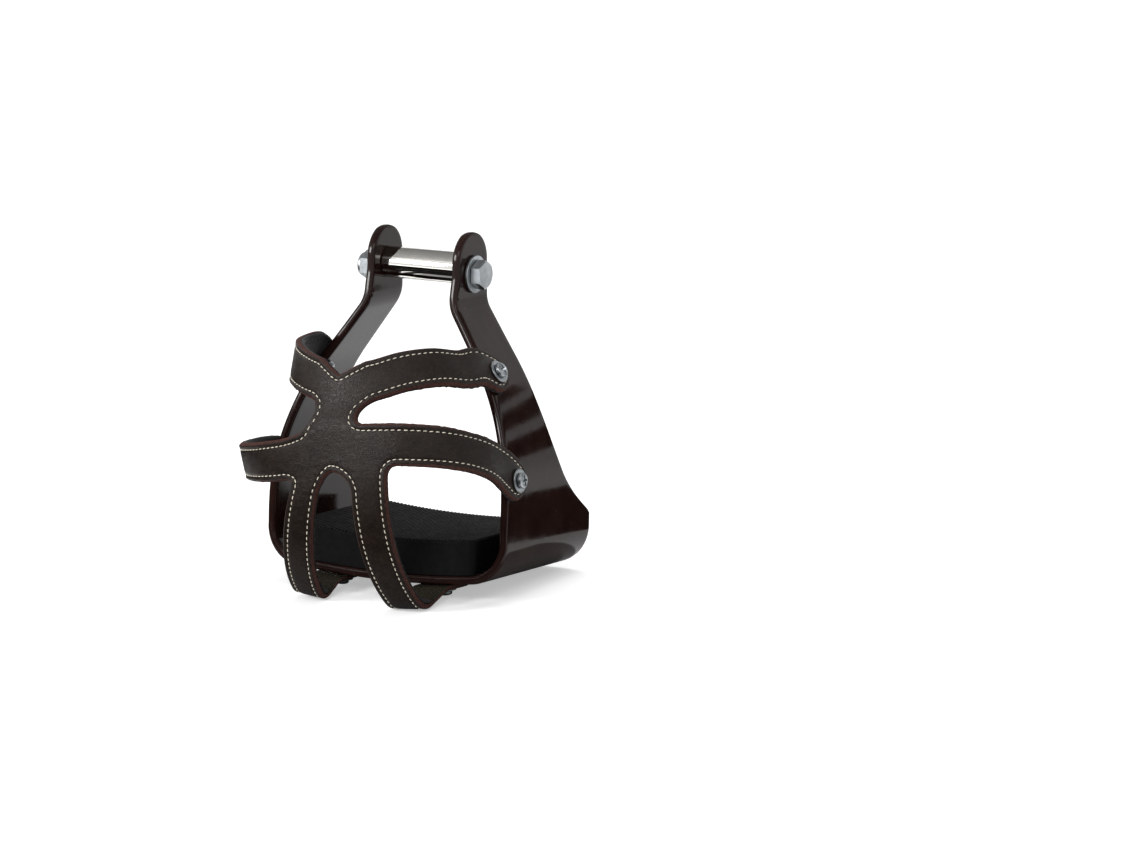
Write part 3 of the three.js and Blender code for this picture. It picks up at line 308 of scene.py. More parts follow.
def axis_place(node):
    """Where the axis of a round node along X crosses the middle plane, in metres."""
    low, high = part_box(node)
    return np.array([0, (low.y + high.y) / 2, (low.z + high.z) / 2])


BOLT_AXIS = axis_place("bolt_head_washer")


def lean():
    """The stirrup leans back as it stands; upright, the roller lies straight above the bolt."""
    _, back, up = axis_place("roller_sleeve") - BOLT_AXIS
    return -atan2(back, up)


LEAN = lean()


def to_part(points):
    """Upright millimetres to the part's leaning frame in metres."""
    x, y, z = np.asarray(points, float).T
    z = z - BOLT_HEIGHT
    c, s = cos(LEAN), sin(LEAN)
    return np.stack([x, y * c - z * s, y * s + z * c], 1) * MM + BOLT_AXIS


def placed(name, data):
    """A mesh, lamp or camera as an object in the scene."""
    made = bpy.data.objects.new(name, data)
    bpy.context.scene.collection.objects.link(made)
    return made


def mesh_object(name, points, faces):
    mesh = bpy.data.meshes.new(name)
    mesh.from_pydata([tuple(p) for p in points], [], [tuple(int(i) for i in f) for f in faces])
    return placed(name, mesh)


def add_piece(name, points, faces, slot, replaces=(), body=BODY, smooth=40, material=None):
    """A closed mesh from upright millimetres, riding on its body in place of CAD nodes."""
    piece = mesh_object(name, to_part(points), faces)
    mesh = piece.data
    mesh.validate()
    mesh.materials.append(MATERIALS[material or slot])
    mesh.shade_smooth()
    mesh.set_sharp_from_angle(angle=radians(smooth))
    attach(piece, body)
    if replaces:
        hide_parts(*replaces)
    return piece


def unit(vectors):
    return vectors / np.linalg.norm(vectors, axis=-1, keepdims=True)


def ring_faces(rows, count, closed_rows=False, close_ends=True):
    """Quads between rings of equally many points, with flat ends."""
    faces = []
    for row in range(rows if closed_rows else rows - 1):
        for i in range(count):
            a, b = row * count + i, row * count + (i + 1) % count
            c, d = [((row + 1) % rows) * count + k % count for k in (i + 1, i)]
            faces.append((a, b, c, d))
    if close_ends and not closed_rows:
        faces.append(tuple(range(count))[::-1])
        faces.append(tuple(range((rows - 1) * count, rows * count)))
    return faces


def flipped(faces):
    return [face[::-1] for face in faces]


def circle(count):
    return np.linspace(0, 2 * pi, count, endpoint=False)


def ring_points(rows, count):
    """Rings about +Z from rows of (radius, height), each one number or one for every point."""
    c, s = np.cos(circle(count)), np.sin(circle(count))
    return np.concatenate([np.stack(np.broadcast_arrays(r * c, r * s, z), 1) for r, z in rows])


def lathe(profile, segments=ROUND_SEGMENTS):
    """Points and faces of a profile of (radius, height) turned about +Z. It closes on itself."""
    return ring_points(profile, segments), ring_faces(len(profile), segments, closed_rows=True)


def bent(start, corner, end, t):
    """Place on the curve from start to end that is drawn towards a corner."""
    return (1 - t) ** 2 * start + 2 * t * (1 - t) * corner + t * t * end


def rounded(profile, radius, steps=3):
    """A closed profile with its corners rounded off."""
    points = []
    for i, corner in enumerate(profile):
        corner = np.array(corner, float)
        before = np.array(profile[i - 1], float) - corner
        after = np.array(profile[(i + 1) % len(profile)], float) - corner
        reach = [np.linalg.norm(side) / SIDES_PER_CORNER for side in (before, after)]
        cut = min(radius, *reach)
        start, end = corner + unit(before) * cut, corner + unit(after) * cut
        points += [bent(start, corner, end, k / steps) for k in range(steps + 1)]
    return points


def aimed(points, place, axis):
    """Turns points set out about +Z to stand about this axis, at a place."""
    turn = Vector((0, 0, 1)).rotation_difference(Vector(axis)).to_matrix()
    return np.asarray(points) @ np.array(turn).T + np.asarray(place, float)


def raised(points, height):
    return points + np.array([0, 0, height])


def joined(*shapes):
    """Several closed shapes as one mesh."""
    points, faces, start = [], [], 0
    for shape_points, shape_faces in shapes:
        points.append(shape_points)
        faces += [tuple(i + start for i in face) for face in shape_faces]
        start += len(shape_points)
    return np.concatenate(points), faces


def hermite(t, a, b, slope_a, slope_b):
    """Value or place between a and b on the cubic that has these slopes at its ends."""
    t2, t3 = t * t, t * t * t
    return ((2 * t3 - 3 * t2 + 1) * a + (t3 - 2 * t2 + t) * slope_a
            + (3 * t2 - 2 * t3) * b + (t3 - t2) * slope_b)


def smooth_curve(pairs):
    """Smooth function through points, whose slope at each is the mean of its two sides'."""
    xs, ys = np.array(pairs, float).T
    secants = np.diff(ys) / np.diff(xs)
    slopes = np.concatenate([secants[:1], (secants[1:] + secants[:-1]) / 2, secants[-1:]])

    def evaluate(x):
        x = np.clip(x, xs[0], xs[-1])
        i = np.clip(np.searchsorted(xs, x) - 1, 0, len(xs) - 2)
        span = xs[i + 1] - xs[i]
        return hermite((x - xs[i]) / span, ys[i], ys[i + 1], slopes[i] * span, slopes[i + 1] * span)

    return evaluate


# Materials

def srgb(red, green, blue):
    """A colour written 0 to 255 as the shader's linear values."""
    shares = [c / 255 for c in (red, green, blue)]
    return [s / 12.92 if s <= 0.04045 else ((s + 0.055) / 1.055) ** 2.4 for s in shares] + [1]


def feed(tree, socket, value):
    """Gives a socket a value, or links another node's output to it."""
    if isinstance(value, bpy.types.NodeSocket):
        tree.links.new(value, socket)
    else:
        socket.default_value = value


def wired(tree, kind, output, inputs, **settings):
    """One output of a new node."""
    node = tree.nodes.new("ShaderNode" + kind)
    for name, value in settings.items():
        setattr(node, name, value)
    for name, value in inputs.items():
        feed(tree, node.inputs[name], value)
    return node.outputs[output]


class Shader:
    """A node material with one principled surface and short helpers for its patterns."""

    def __init__(self, name):
        self.material = bpy.data.materials.new(name)
        self.material.use_nodes = True
        self.tree = self.material.node_tree
        self.place = self.add("TexCoord", "Object", {})

    def add(self, kind, output, inputs, **settings):
        return wired(self.tree, kind, output, inputs, **settings)

    def noise(self, size_mm, detail=3.0, roughness=0.5, stretch=None):
        """Noise whose features are about this size."""
        place = self.place
        if stretch:
            place = self.add("Mapping", "Vector", {"Vector": place, "Scale": stretch})
        inputs = {"Vector": place, "Scale": 1 / (size_mm * MM), "Detail": detail, "Roughness": roughness}
        return self.add("TexNoise", "Fac", inputs)

    def cells(self, size_mm):
        """Distance from the borders between cells of about this size."""
        inputs = {"Vector": self.place, "Scale": 1 / (size_mm * MM)}
        return self.add("TexVoronoi", "Distance", inputs, feature="DISTANCE_TO_EDGE")

    def ramp(self, value, low, high, low_out=0.0, high_out=1.0):
        """Maps a value from one range to another, held at its ends."""
        inputs = {"Value": value, "From Min": low, "From Max": high, "To Min": low_out, "To Max": high_out}
        return self.add("MapRange", "Result", inputs)

    def patches(self, size_mm, low, high, low_out=0.0, high_out=1.0, **noise):
        """Noise of this size, mapped from one range to another."""
        return self.ramp(self.noise(size_mm, **noise), low, high, low_out, high_out)

    def mix(self, share, first, second):
        """Colour between two others. Sockets 6, 7 and 2 are the node's sockets for colours."""
        return self.add("Mix", 2, {0: share, 6: first, 7: second}, data_type="RGBA")

    def combine(self, first, second, operation="MULTIPLY"):
        return self.add("Math", 0, {0: first, 1: second}, operation=operation)

    def attribute(self, name):
        return self.add("Attribute", "Fac", {}, attribute_name=name)

    def facing_up(self):
        """Share by which the surface faces up, where the rubber's tops are painted lighter as a sheen of
        grazing light.
        """
        normal = self.add("TexCoord", "Normal", {})
        return self.ramp(self.add("SeparateXYZ", "Z", {"Vector": normal}), 0.3, 0.9)

    def bump(self, height, depth_mm, normal=None):
        """Normal of a relief of this depth, laid over another relief if one is given."""
        inputs = {"Height": height, "Distance": depth_mm * MM}
        if normal is not None:
            inputs["Normal"] = normal
        return self.add("Bump", "Normal", inputs)

    def done(self, **inputs):
        """The material, its surface fed with these values and outputs."""
        surface = self.tree.nodes["Principled BSDF"]
        for name, value in inputs.items():
            feed(self.tree, surface.inputs[name.replace("_", " ")], value)
        return self.material


def paint_material():
    """Dark brown gloss enamel with a slow ripple and fine pale dust set in it."""
    shader = Shader("brown_enamel")
    base = shader.mix(shader.patches(14, 0.35, 0.65), srgb(26, 14, 12), srgb(34, 20, 17))
    specks = shader.patches(0.8, 0.83, 0.9, detail=0)
    ripple = shader.bump(shader.noise(7, detail=1), 0.03)
    return shader.done(
        Base_Color=shader.mix(specks, base, srgb(96, 76, 70)),
        Roughness=shader.patches(9, 0.3, 0.7, 0.09, 0.16),
        Specular_IOR_Level=0.17,
        Normal=shader.bump(specks, 0.03, ripple),
    )


def leather_material():
    """Oiled dark leather: pebbled grain, soft creases, mottled colour and raw reddish edges."""
    shader = Shader("oiled_leather")
    grain = shader.cells(0.75)
    fibres = shader.patches(0.5, 0.35, 0.7, detail=4)
    flesh_share = shader.attribute("flesh")
    face = shader.mix(shader.patches(9, 0.3, 0.7, detail=5), srgb(22, 15, 11), srgb(33, 25, 20))
    rubbed = shader.patches(1.6, 0.52, 0.72, 0, 0.5, detail=5, roughness=0.65)
    face = shader.mix(rubbed, face, srgb(54, 45, 37))
    face = shader.mix(shader.ramp(grain, 0, 0.18, 0.35, 0), face, srgb(15, 11, 9))
    face = shader.mix(flesh_share, face, shader.mix(fibres, srgb(27, 25, 19), srgb(46, 43, 34)))
    raw = shader.mix(fibres, srgb(36, 20, 17), srgb(90, 54, 46))
    ragged = shader.patches(1.2, 0.3, 0.7, -0.3, 0.3, detail=4)
    raw_share = shader.ramp(shader.combine(shader.attribute("edge"), ragged, "ADD"), 0.3, 0.75)
    worn = shader.patches(1.5, 0.35, 0.7, 0.29, 0.42, detail=5, roughness=0.6)
    oiled = shader.combine(worn, shader.combine(flesh_share, 0.12), "SUBTRACT")
    creases = shader.bump(shader.noise(5, detail=4, stretch=(0.5, 0.5, 1.6)), 0.2)
    pebbles = shader.bump(shader.ramp(grain, 0, 0.25), 0.06, creases)
    fuzz = shader.bump(shader.combine(fibres, raw_share), 0.25, pebbles)
    return shader.done(
        Base_Color=shader.mix(raw_share, face, raw),
        Roughness=shader.combine(oiled, shader.combine(raw_share, 0.4), "ADD"),
        Specular_IOR_Level=0.2,
        Normal=shader.bump(shader.noise(0.3, detail=2), 0.02, fuzz),
    )


def backing_material():
    """Soft black backing with a fine nap."""
    shader = Shader("black_backing")
    nap = shader.noise(0.6, detail=5, roughness=0.65)
    soft = shader.bump(shader.noise(4, detail=2), 0.1)
    return shader.done(
        Base_Color=shader.mix(shader.patches(8, 0.3, 0.7), srgb(18, 18, 18), srgb(29, 28, 28)),
        Roughness=shader.ramp(nap, 0.3, 0.7, 0.62, 0.82),
        Specular_IOR_Level=0.25,
        Sheen_Weight=0.06,
        Sheen_Roughness=0.45,
        Normal=shader.bump(nap, 0.05, soft),
    )


def thread_material(name, light, dark):
    """Twisted sewing thread."""
    shader = Shader(name)
    strands = shader.noise(0.25, detail=2)
    return shader.done(
        Base_Color=shader.mix(shader.ramp(strands, 0.3, 0.7), dark, light),
        Roughness=0.75,
        Specular_IOR_Level=0.3,
        Sheen_Weight=0.2,
        Normal=shader.bump(strands, 0.08),
    )


def rubber_material():
    """Matt black rubber with a moulded texture; its up-facing tops are painted lighter, a painted sheen of
    grazing light that is mottled and dusty.
    """
    shader = Shader("black_rubber")
    # Up-facing tops are painted lighter in mottled patches: mostly a painted sheen standing in for grazing
    # light on the tops, partly dust.
    top_sheen_and_dust = shader.combine(shader.patches(7, 0.35, 0.75, 0.5, 1, detail=5), shader.facing_up())
    return shader.done(
        Base_Color=shader.mix(top_sheen_and_dust, srgb(7, 7, 8), srgb(38, 38, 36)),
        Roughness=shader.patches(3, 0.3, 0.7, 0.6, 0.78),
        Specular_IOR_Level=0.12,
        Normal=shader.bump(shader.noise(0.45), 0.02),
    )


def chrome_material():
    """Bright chrome with faint polishing marks along the tube and a few small scuffs."""
    shader = Shader("roller_chrome")
    marks = shader.noise(0.6, stretch=(0.06, 1, 1))
    scuffs = shader.patches(1.4, 0.66, 0.76, detail=4)
    clean = shader.mix(marks, srgb(220, 217, 211), srgb(238, 236, 231))
    polish = shader.ramp(marks, 0.3, 0.7, 0.03, 0.07)
    return shader.done(
        Metallic=1,
        Base_Color=shader.mix(scuffs, clean, srgb(166, 160, 152)),
        Roughness=shader.combine(polish, shader.combine(scuffs, 0.12), "ADD"),
        Normal=shader.bump(scuffs, 0.004),
    )


def zinc_material():
    """Bright zinc plate: slightly cloudy and scuffed."""
    shader = Shader("zinc_plate")
    clouds = shader.noise(4)
    return shader.done(
        Metallic=1,
        Base_Color=shader.mix(shader.ramp(clouds, 0.3, 0.7), srgb(146, 151, 155), srgb(174, 178, 181)),
        Roughness=shader.patches(1.5, 0.3, 0.7, 0.3, 0.4),
        Normal=shader.bump(clouds, 0.004),
    )


def nylon_material():
    """Blue nylon of the lock nut's ring."""
    shader = Shader("blue_nylon")
    tone = shader.noise(0.8, detail=2)
    return shader.done(
        Base_Color=shader.mix(tone, srgb(58, 112, 168), srgb(92, 148, 200)),
        Roughness=0.45,
        Subsurface_Weight=0.1,
        Normal=shader.bump(tone, 0.02),
    )


def card_material(name, tone):
    """Felt of the studio's cards."""
    return Shader(name).done(Base_Color=srgb(tone, tone, tone), Roughness=0.9, Specular_IOR_Level=0.1)


MATERIALS = dict(
    paint=paint_material(),
    leather=leather_material(),
    backing=backing_material(),
    cream_thread=thread_material("cream_thread", srgb(236, 230, 214), srgb(196, 187, 165)),
    black_thread=thread_material("black_thread", srgb(40, 38, 36), srgb(24, 22, 21)),
    rubber=rubber_material(),
    chrome=chrome_material(),
    zinc=zinc_material(),
    nylon=nylon_material(),
    **{name: card_material(name, tone) for name, tone in CARD_TONES.items()},
)


# Frame bar

def line(path, length, steps):
    """Carries a path on straight."""
    for _ in range(steps):
        x, z, angle = path[-1]
        run = length / steps
        path.append((x + run * cos(angle), z + run * sin(angle), angle))


def arc(path, radius, turn, steps):
    """Carries a path on round a bend."""
    step = turn / steps
    chord = 2 * radius * abs(sin(step / 2))
    for _ in range(steps):
        x, z, angle = path[-1]
        heading = angle + step / 2
        path.append((x + chord * cos(heading), z + chord * sin(heading), angle + step))


def bar_path():
    """Middle line of half the bar, as (x, z, heading): tread, bend, leg, neck and ear."""
    bend = TREAD_BEND_RADIUS + BAR_THICKNESS / 2
    half_width = (FRAME_WIDTH - BAR_THICKNESS) / 2
    dish = asin((half_width - bend) / (DISH_RADIUS - bend))
    ear_x = (SLOT_WIDTH + BAR_THICKNESS) / 2
    radii = LEG_BOW_RADIUS + NECK_BEND_RADIUS
    inward, rise = half_width - ear_x, BOLT_HEIGHT - EAR_FOOT - LEG_FOOT_HEIGHT
    lean = asin(radii / hypot(rise, radii - inward)) - atan2(radii - inward, rise)
    path = [(0, BAR_THICKNESS / 2, 0)]
    arc(path, DISH_RADIUS, dish, BAR_STEPS["tread"])
    arc(path, bend, pi / 2 - dish, BAR_STEPS["bend"])
    line(path, LEG_FOOT_HEIGHT - path[-1][1], BAR_STEPS["foot"])
    arc(path, LEG_BOW_RADIUS, lean, BAR_STEPS["leg"])
    neck_shift = NECK_BEND_RADIUS * (1 - cos(lean))
    line(path, (path[-1][0] - ear_x - neck_shift) / sin(lean), BAR_STEPS["shoulder"])
    arc(path, NECK_BEND_RADIUS, -lean, BAR_STEPS["neck"])
    line(path, BOLT_HEIGHT + EAR_RISE - path[-1][1], BAR_STEPS["ear"])
    return path


HALF_PATH = bar_path()
leg_front = smooth_curve(LEG_FRONT_SHARES)
leg_rear = smooth_curve(LEG_REAR_SHARES)


def bar_edges(z, angle):
    """How far the bar reaches forward and back of the bolt's plane at a station."""
    share = (z - WING_HEIGHT) / (BOLT_HEIGHT - WING_HEIGHT)
    if share <= 0:
        return LEG_FOOT_FRONT + (TREAD_FRONT - LEG_FOOT_FRONT) * cos(angle), TREAD_REAR
    share = min(share, 1)
    return (EAR_RADIUS + (LEG_FOOT_FRONT - EAR_RADIUS) * leg_front(share),
            EAR_RADIUS + (TREAD_REAR - EAR_RADIUS) * leg_rear(share))


def ear_top(foot):
    """Stations over the ear's round top, whose edge rounds off at the crown."""
    x, z, angle = foot
    flat = EAR_RADIUS - BAR_EDGE_RADIUS
    quarter = pi / 2
    rises = [(flat * sin(t), 0) for t in np.linspace(0, quarter, EAR_ROUND_POINTS)[1:]]
    rises += [(flat + BAR_EDGE_RADIUS * sin(t), BAR_EDGE_RADIUS * (1 - cos(t)))
              for t in np.linspace(0, quarter * EAR_CROWN_SHARE, EAR_CROWN_POINTS)[1:]]
    stations = []
    for rise, thinner in rises:
        half = sqrt(max(EAR_RADIUS ** 2 - rise ** 2, 0))
        stations.append((x, z + rise, angle, half, half, BAR_THICKNESS / 2 - thinner))
    return stations


def bar_section(station, side):
    """Rounded section of the bar, with a line of points just inside each rounded corner."""
    x, z, angle, front, rear, half_thickness = station
    middle, half_width = (rear - front) / 2, (rear + front) / 2
    radius = min(BAR_EDGE_RADIUS, half_thickness, half_width)
    inset = min(radius, (half_width - radius) / 2)
    points = []
    for corner, (across, out) in enumerate(((1, 1), (-1, 1), (-1, -1), (1, -1))):
        turns = np.linspace(0, pi / 2, CORNER_STEPS + 1) + corner * pi / 2
        centre = middle + across * (half_width - radius)
        level = out * (half_thickness - radius)
        ring = [(centre + radius * cos(t), level + radius * sin(t)) for t in turns]
        flat = (centre - across * inset, level + out * radius)
        points += ring + [flat] if across * out > 0 else [flat] + ring
    return [(side * (x + n * sin(angle)), y, z - n * cos(angle)) for y, n in points]


def frame_piece():
    leg = [(x, z, a, *bar_edges(z, a), BAR_THICKNESS / 2) for x, z, a in HALF_PATH]
    stations = leg + ear_top(HALF_PATH[-1])
    rings = [bar_section(s, -1) for s in stations[:0:-1]] + [bar_section(s, 1) for s in stations]
    points = [p for ring in rings for p in ring]
    faces = ring_faces(len(rings), len(rings[0]))
    add_piece("enamel_frame", points, faces, "paint", ["stirrup_frame"], smooth=60)


def leg_face(height, offset):
    """Point on the right leg's outer face at a height, moved out, and the normal there."""
    legs = [s for s in HALF_PATH if s[2] > pi / 4]
    heights = [s[1] for s in legs]
    x = np.interp(height, heights, [s[0] for s in legs])
    angle = np.interp(height, heights, [s[2] for s in legs])
    normal = np.array([sin(angle), 0, -cos(angle)])
    return np.array([x, 0, height]) + normal * (BAR_THICKNESS / 2 + offset), normal


def dish_rise(x):
    """Height of the dished plate's underside over its middle."""
    outer = DISH_RADIUS + BAR_THICKNESS / 2
    return outer - np.sqrt(outer ** 2 - np.square(x))


# Roller, bolt and nut. Each is set out along +Z and then laid along the bolt

def on_bolt(points, x, side, lift=0.0):
    """A shape laid along the bolt from x outward; side -1 is the nut's."""
    points = np.asarray(points)
    return np.stack([side * (x + points[:, 2]), side * points[:, 0], points[:, 1] + BOLT_HEIGHT + lift], 1)


def roller_piece():
    """Tube that bears on the bolt with its bore."""
    end = SLOT_WIDTH / 2 - ROLLER_END_PLAY
    bore, outer = ROLLER_DIAMETER / 2 - ROLLER_WALL, ROLLER_DIAMETER / 2
    points, faces = lathe(rounded([(bore, -end), (outer, -end), (outer, end), (bore, end)], ROLLER_RIM))
    points = on_bolt(points, 0, 1, bore - BOLT_DIAMETER / 2 - SEAT_GAP)
    add_piece("chrome_roller", points, faces, "chrome", ["roller_sleeve"], "roller", 50)


def hex_solid(height, bore, bottom_chamfer):
    """Hexagonal block standing on z = 0, its rims cut by cones, with a hole or a closed middle."""
    count, flat = 2 * ROUND_SEGMENTS, HEX_ACROSS_FLATS / 2
    near, inner = flat * HEX_FACE_SHARE, bore or BOLT_CORE_RADIUS
    reach = flat / np.cos((circle(count) + pi / 6) % (pi / 3) - pi / 6)
    drop = np.maximum(reach - near, 0) * tan(HEX_CHAMFER)
    rows = [(inner, 0), (near, 0), (reach, drop if bottom_chamfer else 0),
            (reach, height - drop), (near, height), (inner, height)]
    faces = ring_faces(len(rows), count, closed_rows=bool(bore), close_ends=not bore)
    return ring_points(rows, count), faces


def thread(radius, length, pitch, depth, tip_share):
    """Threaded shank from z = 0 down to -length, with a chamfered tip."""
    turns = circle(THREAD_SEGMENTS)
    rows = []
    for z in np.arange(0, length, pitch / THREAD_STEPS):
        phase = (z / pitch - turns / (2 * pi)) % 1
        wave = 1 - np.abs(2 * phase - 1)
        cut = np.clip(wave * THREAD_FLANK - THREAD_CREST, 0, 1)
        end = np.clip((length - z) / (radius * (1 - tip_share) * 2), 0, 1)
        rows.append((radius * (tip_share + (1 - tip_share) * end) - depth * cut * end, -z))
    rows.append((radius * tip_share * THREAD_END_SHARE, -length))
    return ring_points(rows, THREAD_SEGMENTS), flipped(ring_faces(len(rows), THREAD_SEGMENTS))


EAR_OUTER_X = SLOT_WIDTH / 2 + BAR_THICKNESS
BOLT_SEAT_X = EAR_OUTER_X + SEAT_GAP + BOLT_WASHER_THICKNESS + SEAT_GAP


def bolt_piece():
    """Hex head on +X, plain shank, and a thread that shows past the lock nut."""
    head = hex_solid(BOLT_HEAD_HEIGHT, 0, False)
    length = 2 * BOLT_SEAT_X + NUT_HEIGHT + NUT_COLLAR_HEIGHT + BOLT_END_BEYOND_INSERT
    thread_length = NUT_HEIGHT + NUT_COLLAR_HEIGHT + BAR_THICKNESS + BOLT_WASHER_THICKNESS
    core, radius = BOLT_CORE_RADIUS, BOLT_DIAMETER / 2
    low, high = thread_length - length, BOLT_HEAD_OVERLAP
    shank = lathe([(core, high), (radius, high), (radius, low), (core, low)], SCREW_SEGMENTS)
    screw, faces = thread(radius, thread_length, **BOLT_THREAD)
    points, faces = joined(head, shank, (raised(screw, low), faces))
    add_piece("hex_bolt", on_bolt(points, BOLT_SEAT_X, 1), faces, "zinc", ["roller_bolt"], smooth=30)


def washer_solid(outer, inner, thickness, rim):
    return lathe(rounded([(inner, 0), (outer, 0), (outer, thickness), (inner, thickness)], rim))


def bolt_washers():
    bore = BOLT_DIAMETER / 2 + BORE_CLEARANCE
    washer = washer_solid(BOLT_WASHER_DIAMETER / 2, bore, BOLT_WASHER_THICKNESS, BOLT_WASHER_RIM)
    for name, side in (("bolt_head_washer", 1), ("nut_washer", -1)):
        points = on_bolt(washer[0], EAR_OUTER_X + SEAT_GAP, side)
        add_piece("round_" + name, points, washer[1], "zinc", [name])


def lock_nut_pieces():
    """Hex nut with a rolled collar that holds the blue ring."""
    bore = BOLT_DIAMETER / 2 + NUT_BORE_CLEARANCE
    collar = NUT_COLLAR_DIAMETER / 2
    mouth = collar - NUT_COLLAR_WALL
    top = NUT_HEIGHT + NUT_COLLAR_HEIGHT
    seat = top - INSERT_THICKNESS
    lip = [(collar - inward, top - down) for inward, down in NUT_LIP_CORNERS]
    shell = [(bore, NUT_COLLAR_FOOT), (collar, NUT_COLLAR_FOOT), *lip, (mouth, seat), (bore, seat)]
    points, faces = joined(hex_solid(NUT_HEIGHT, bore, True), lathe(rounded(shell, NUT_COLLAR_ROUND)))
    add_piece("collar_nut", on_bolt(points, BOLT_SEAT_X, -1), faces, "zinc", ["lock_nut"], smooth=30)
    outer = mouth - INSERT_CLEARANCE
    rim_top, bore_top = [INSERT_THICKNESS - drop for drop in INSERT_TOP_DROPS]
    ring = rounded([(bore, 0), (outer, 0), (outer, rim_top), (bore, bore_top)], INSERT_ROUND)
    points, faces = lathe(ring)
    points = on_bolt(points, BOLT_SEAT_X + seat, -1)
    add_piece("nylon_ring", points, faces, "nylon", ["lock_nut_insert"])


# Rubber pad

def pad_columns():
    """Rib profile across the pad: x and height over the rib roots."""
    half = FRAME_WIDTH / 2 - BAR_THICKNESS - PAD_SIDE_GAP
    ribs = round(2 * half / PAD_RIB_PITCH)
    pitch = 2 * half / ribs
    columns = [(-half + i * pitch + share * pitch, rise * PAD_RIB_HEIGHT)
               for i in range(ribs) for share, rise in PAD_RIB_SHARES]
    return np.array(columns + [(half, 0)]), half


def pad_piece():
    """Ribs run from front to back over the dished block; its top rims are rounded off."""
    columns, half = pad_columns()
    x, rib = columns.T
    depth_in = PAD_CORNER_RADIUS - np.clip(half - np.abs(x), 0, PAD_CORNER_RADIUS)
    corner = PAD_CORNER_RADIUS - np.sqrt(PAD_CORNER_RADIUS ** 2 - depth_in ** 2)
    front, rear = -PAD_FRONT + corner, PAD_REAR - corner
    floor = dish_rise(x) + BAR_THICKNESS + SEAT_GAP
    root = floor + PAD_THICKNESS
    turns = np.linspace(0, pi / 2, PAD_RIM_POINTS)
    insets = PAD_EDGE_ROUND * (1 - np.cos(turns))
    drops = PAD_EDGE_ROUND * (1 - np.sin(turns))
    rows = [(front, floor), (front, root - PAD_EDGE_ROUND)]
    rows += [(front + inset, root + rib - drop) for inset, drop in zip(insets, drops)]
    rows += [(front + (rear - front) * share, root + rib) for share in np.linspace(0, 1, PAD_TOP_ROWS)[1:-1]]
    rows += [(rear - inset, root + rib - drop) for inset, drop in zip(insets[::-1], drops[::-1])]
    rows += [(rear, root - PAD_EDGE_ROUND), (rear, floor)]
    points = [(x[i], y[i], z[i]) for y, z in rows for i in range(len(x))]
    count = len(x)
    faces = [face for face in ring_faces(len(rows), count, closed_rows=True)
             if abs(face[0] % count - face[1] % count) < 2]
    for end in (0, count - 1):
        loop = [row * count + end for row in range(len(rows))]
        faces.append(tuple(loop if end else loop[::-1]))
    add_piece("ribbed_pad", points, flipped(faces), "rubber", ["foot_pad"], smooth=35)


# Toe cage: a flat pattern bent on to a surface between the arms' centre lines and the straps

def catmull_rom(points):
    """Dense points on a smooth curve through the given points."""
    p = np.array(points, float)
    p = np.vstack([2 * p[0] - p[1], p, 2 * p[-1] - p[-2]])
    dense = []
    for i in range(1, len(p) - 2):
        x0, x1, x2, x3 = p[i - 1:i + 3]
        d0, d1, d2 = [np.linalg.norm(b - a) ** 0.5 for a, b in ((x0, x1), (x1, x2), (x2, x3))]
        slope_1 = ((x1 - x0) / d0 - (x2 - x0) / (d0 + d1) + (x2 - x1) / d1) * d1
        slope_2 = ((x2 - x1) / d1 - (x3 - x1) / (d1 + d2) + (x3 - x2) / d2) * d1
        t = np.linspace(0, 1, CURVE_STEPS, endpoint=False)[:, None]
        dense.append(hermite(t, x1, x2, slope_1, slope_2))
    return np.vstack(dense + [p[-2:-1]])


HALF_SEAM = SEAM_GAP / 2
HALF_ARM = ARM_WIDTH / 2
CAGE_OFFSET = SEAT_GAP + BACKING_THICKNESS + HALF_SEAM
CAGE_STACK = CAGE_OFFSET + HALF_SEAM + LEATHER_THICKNESS


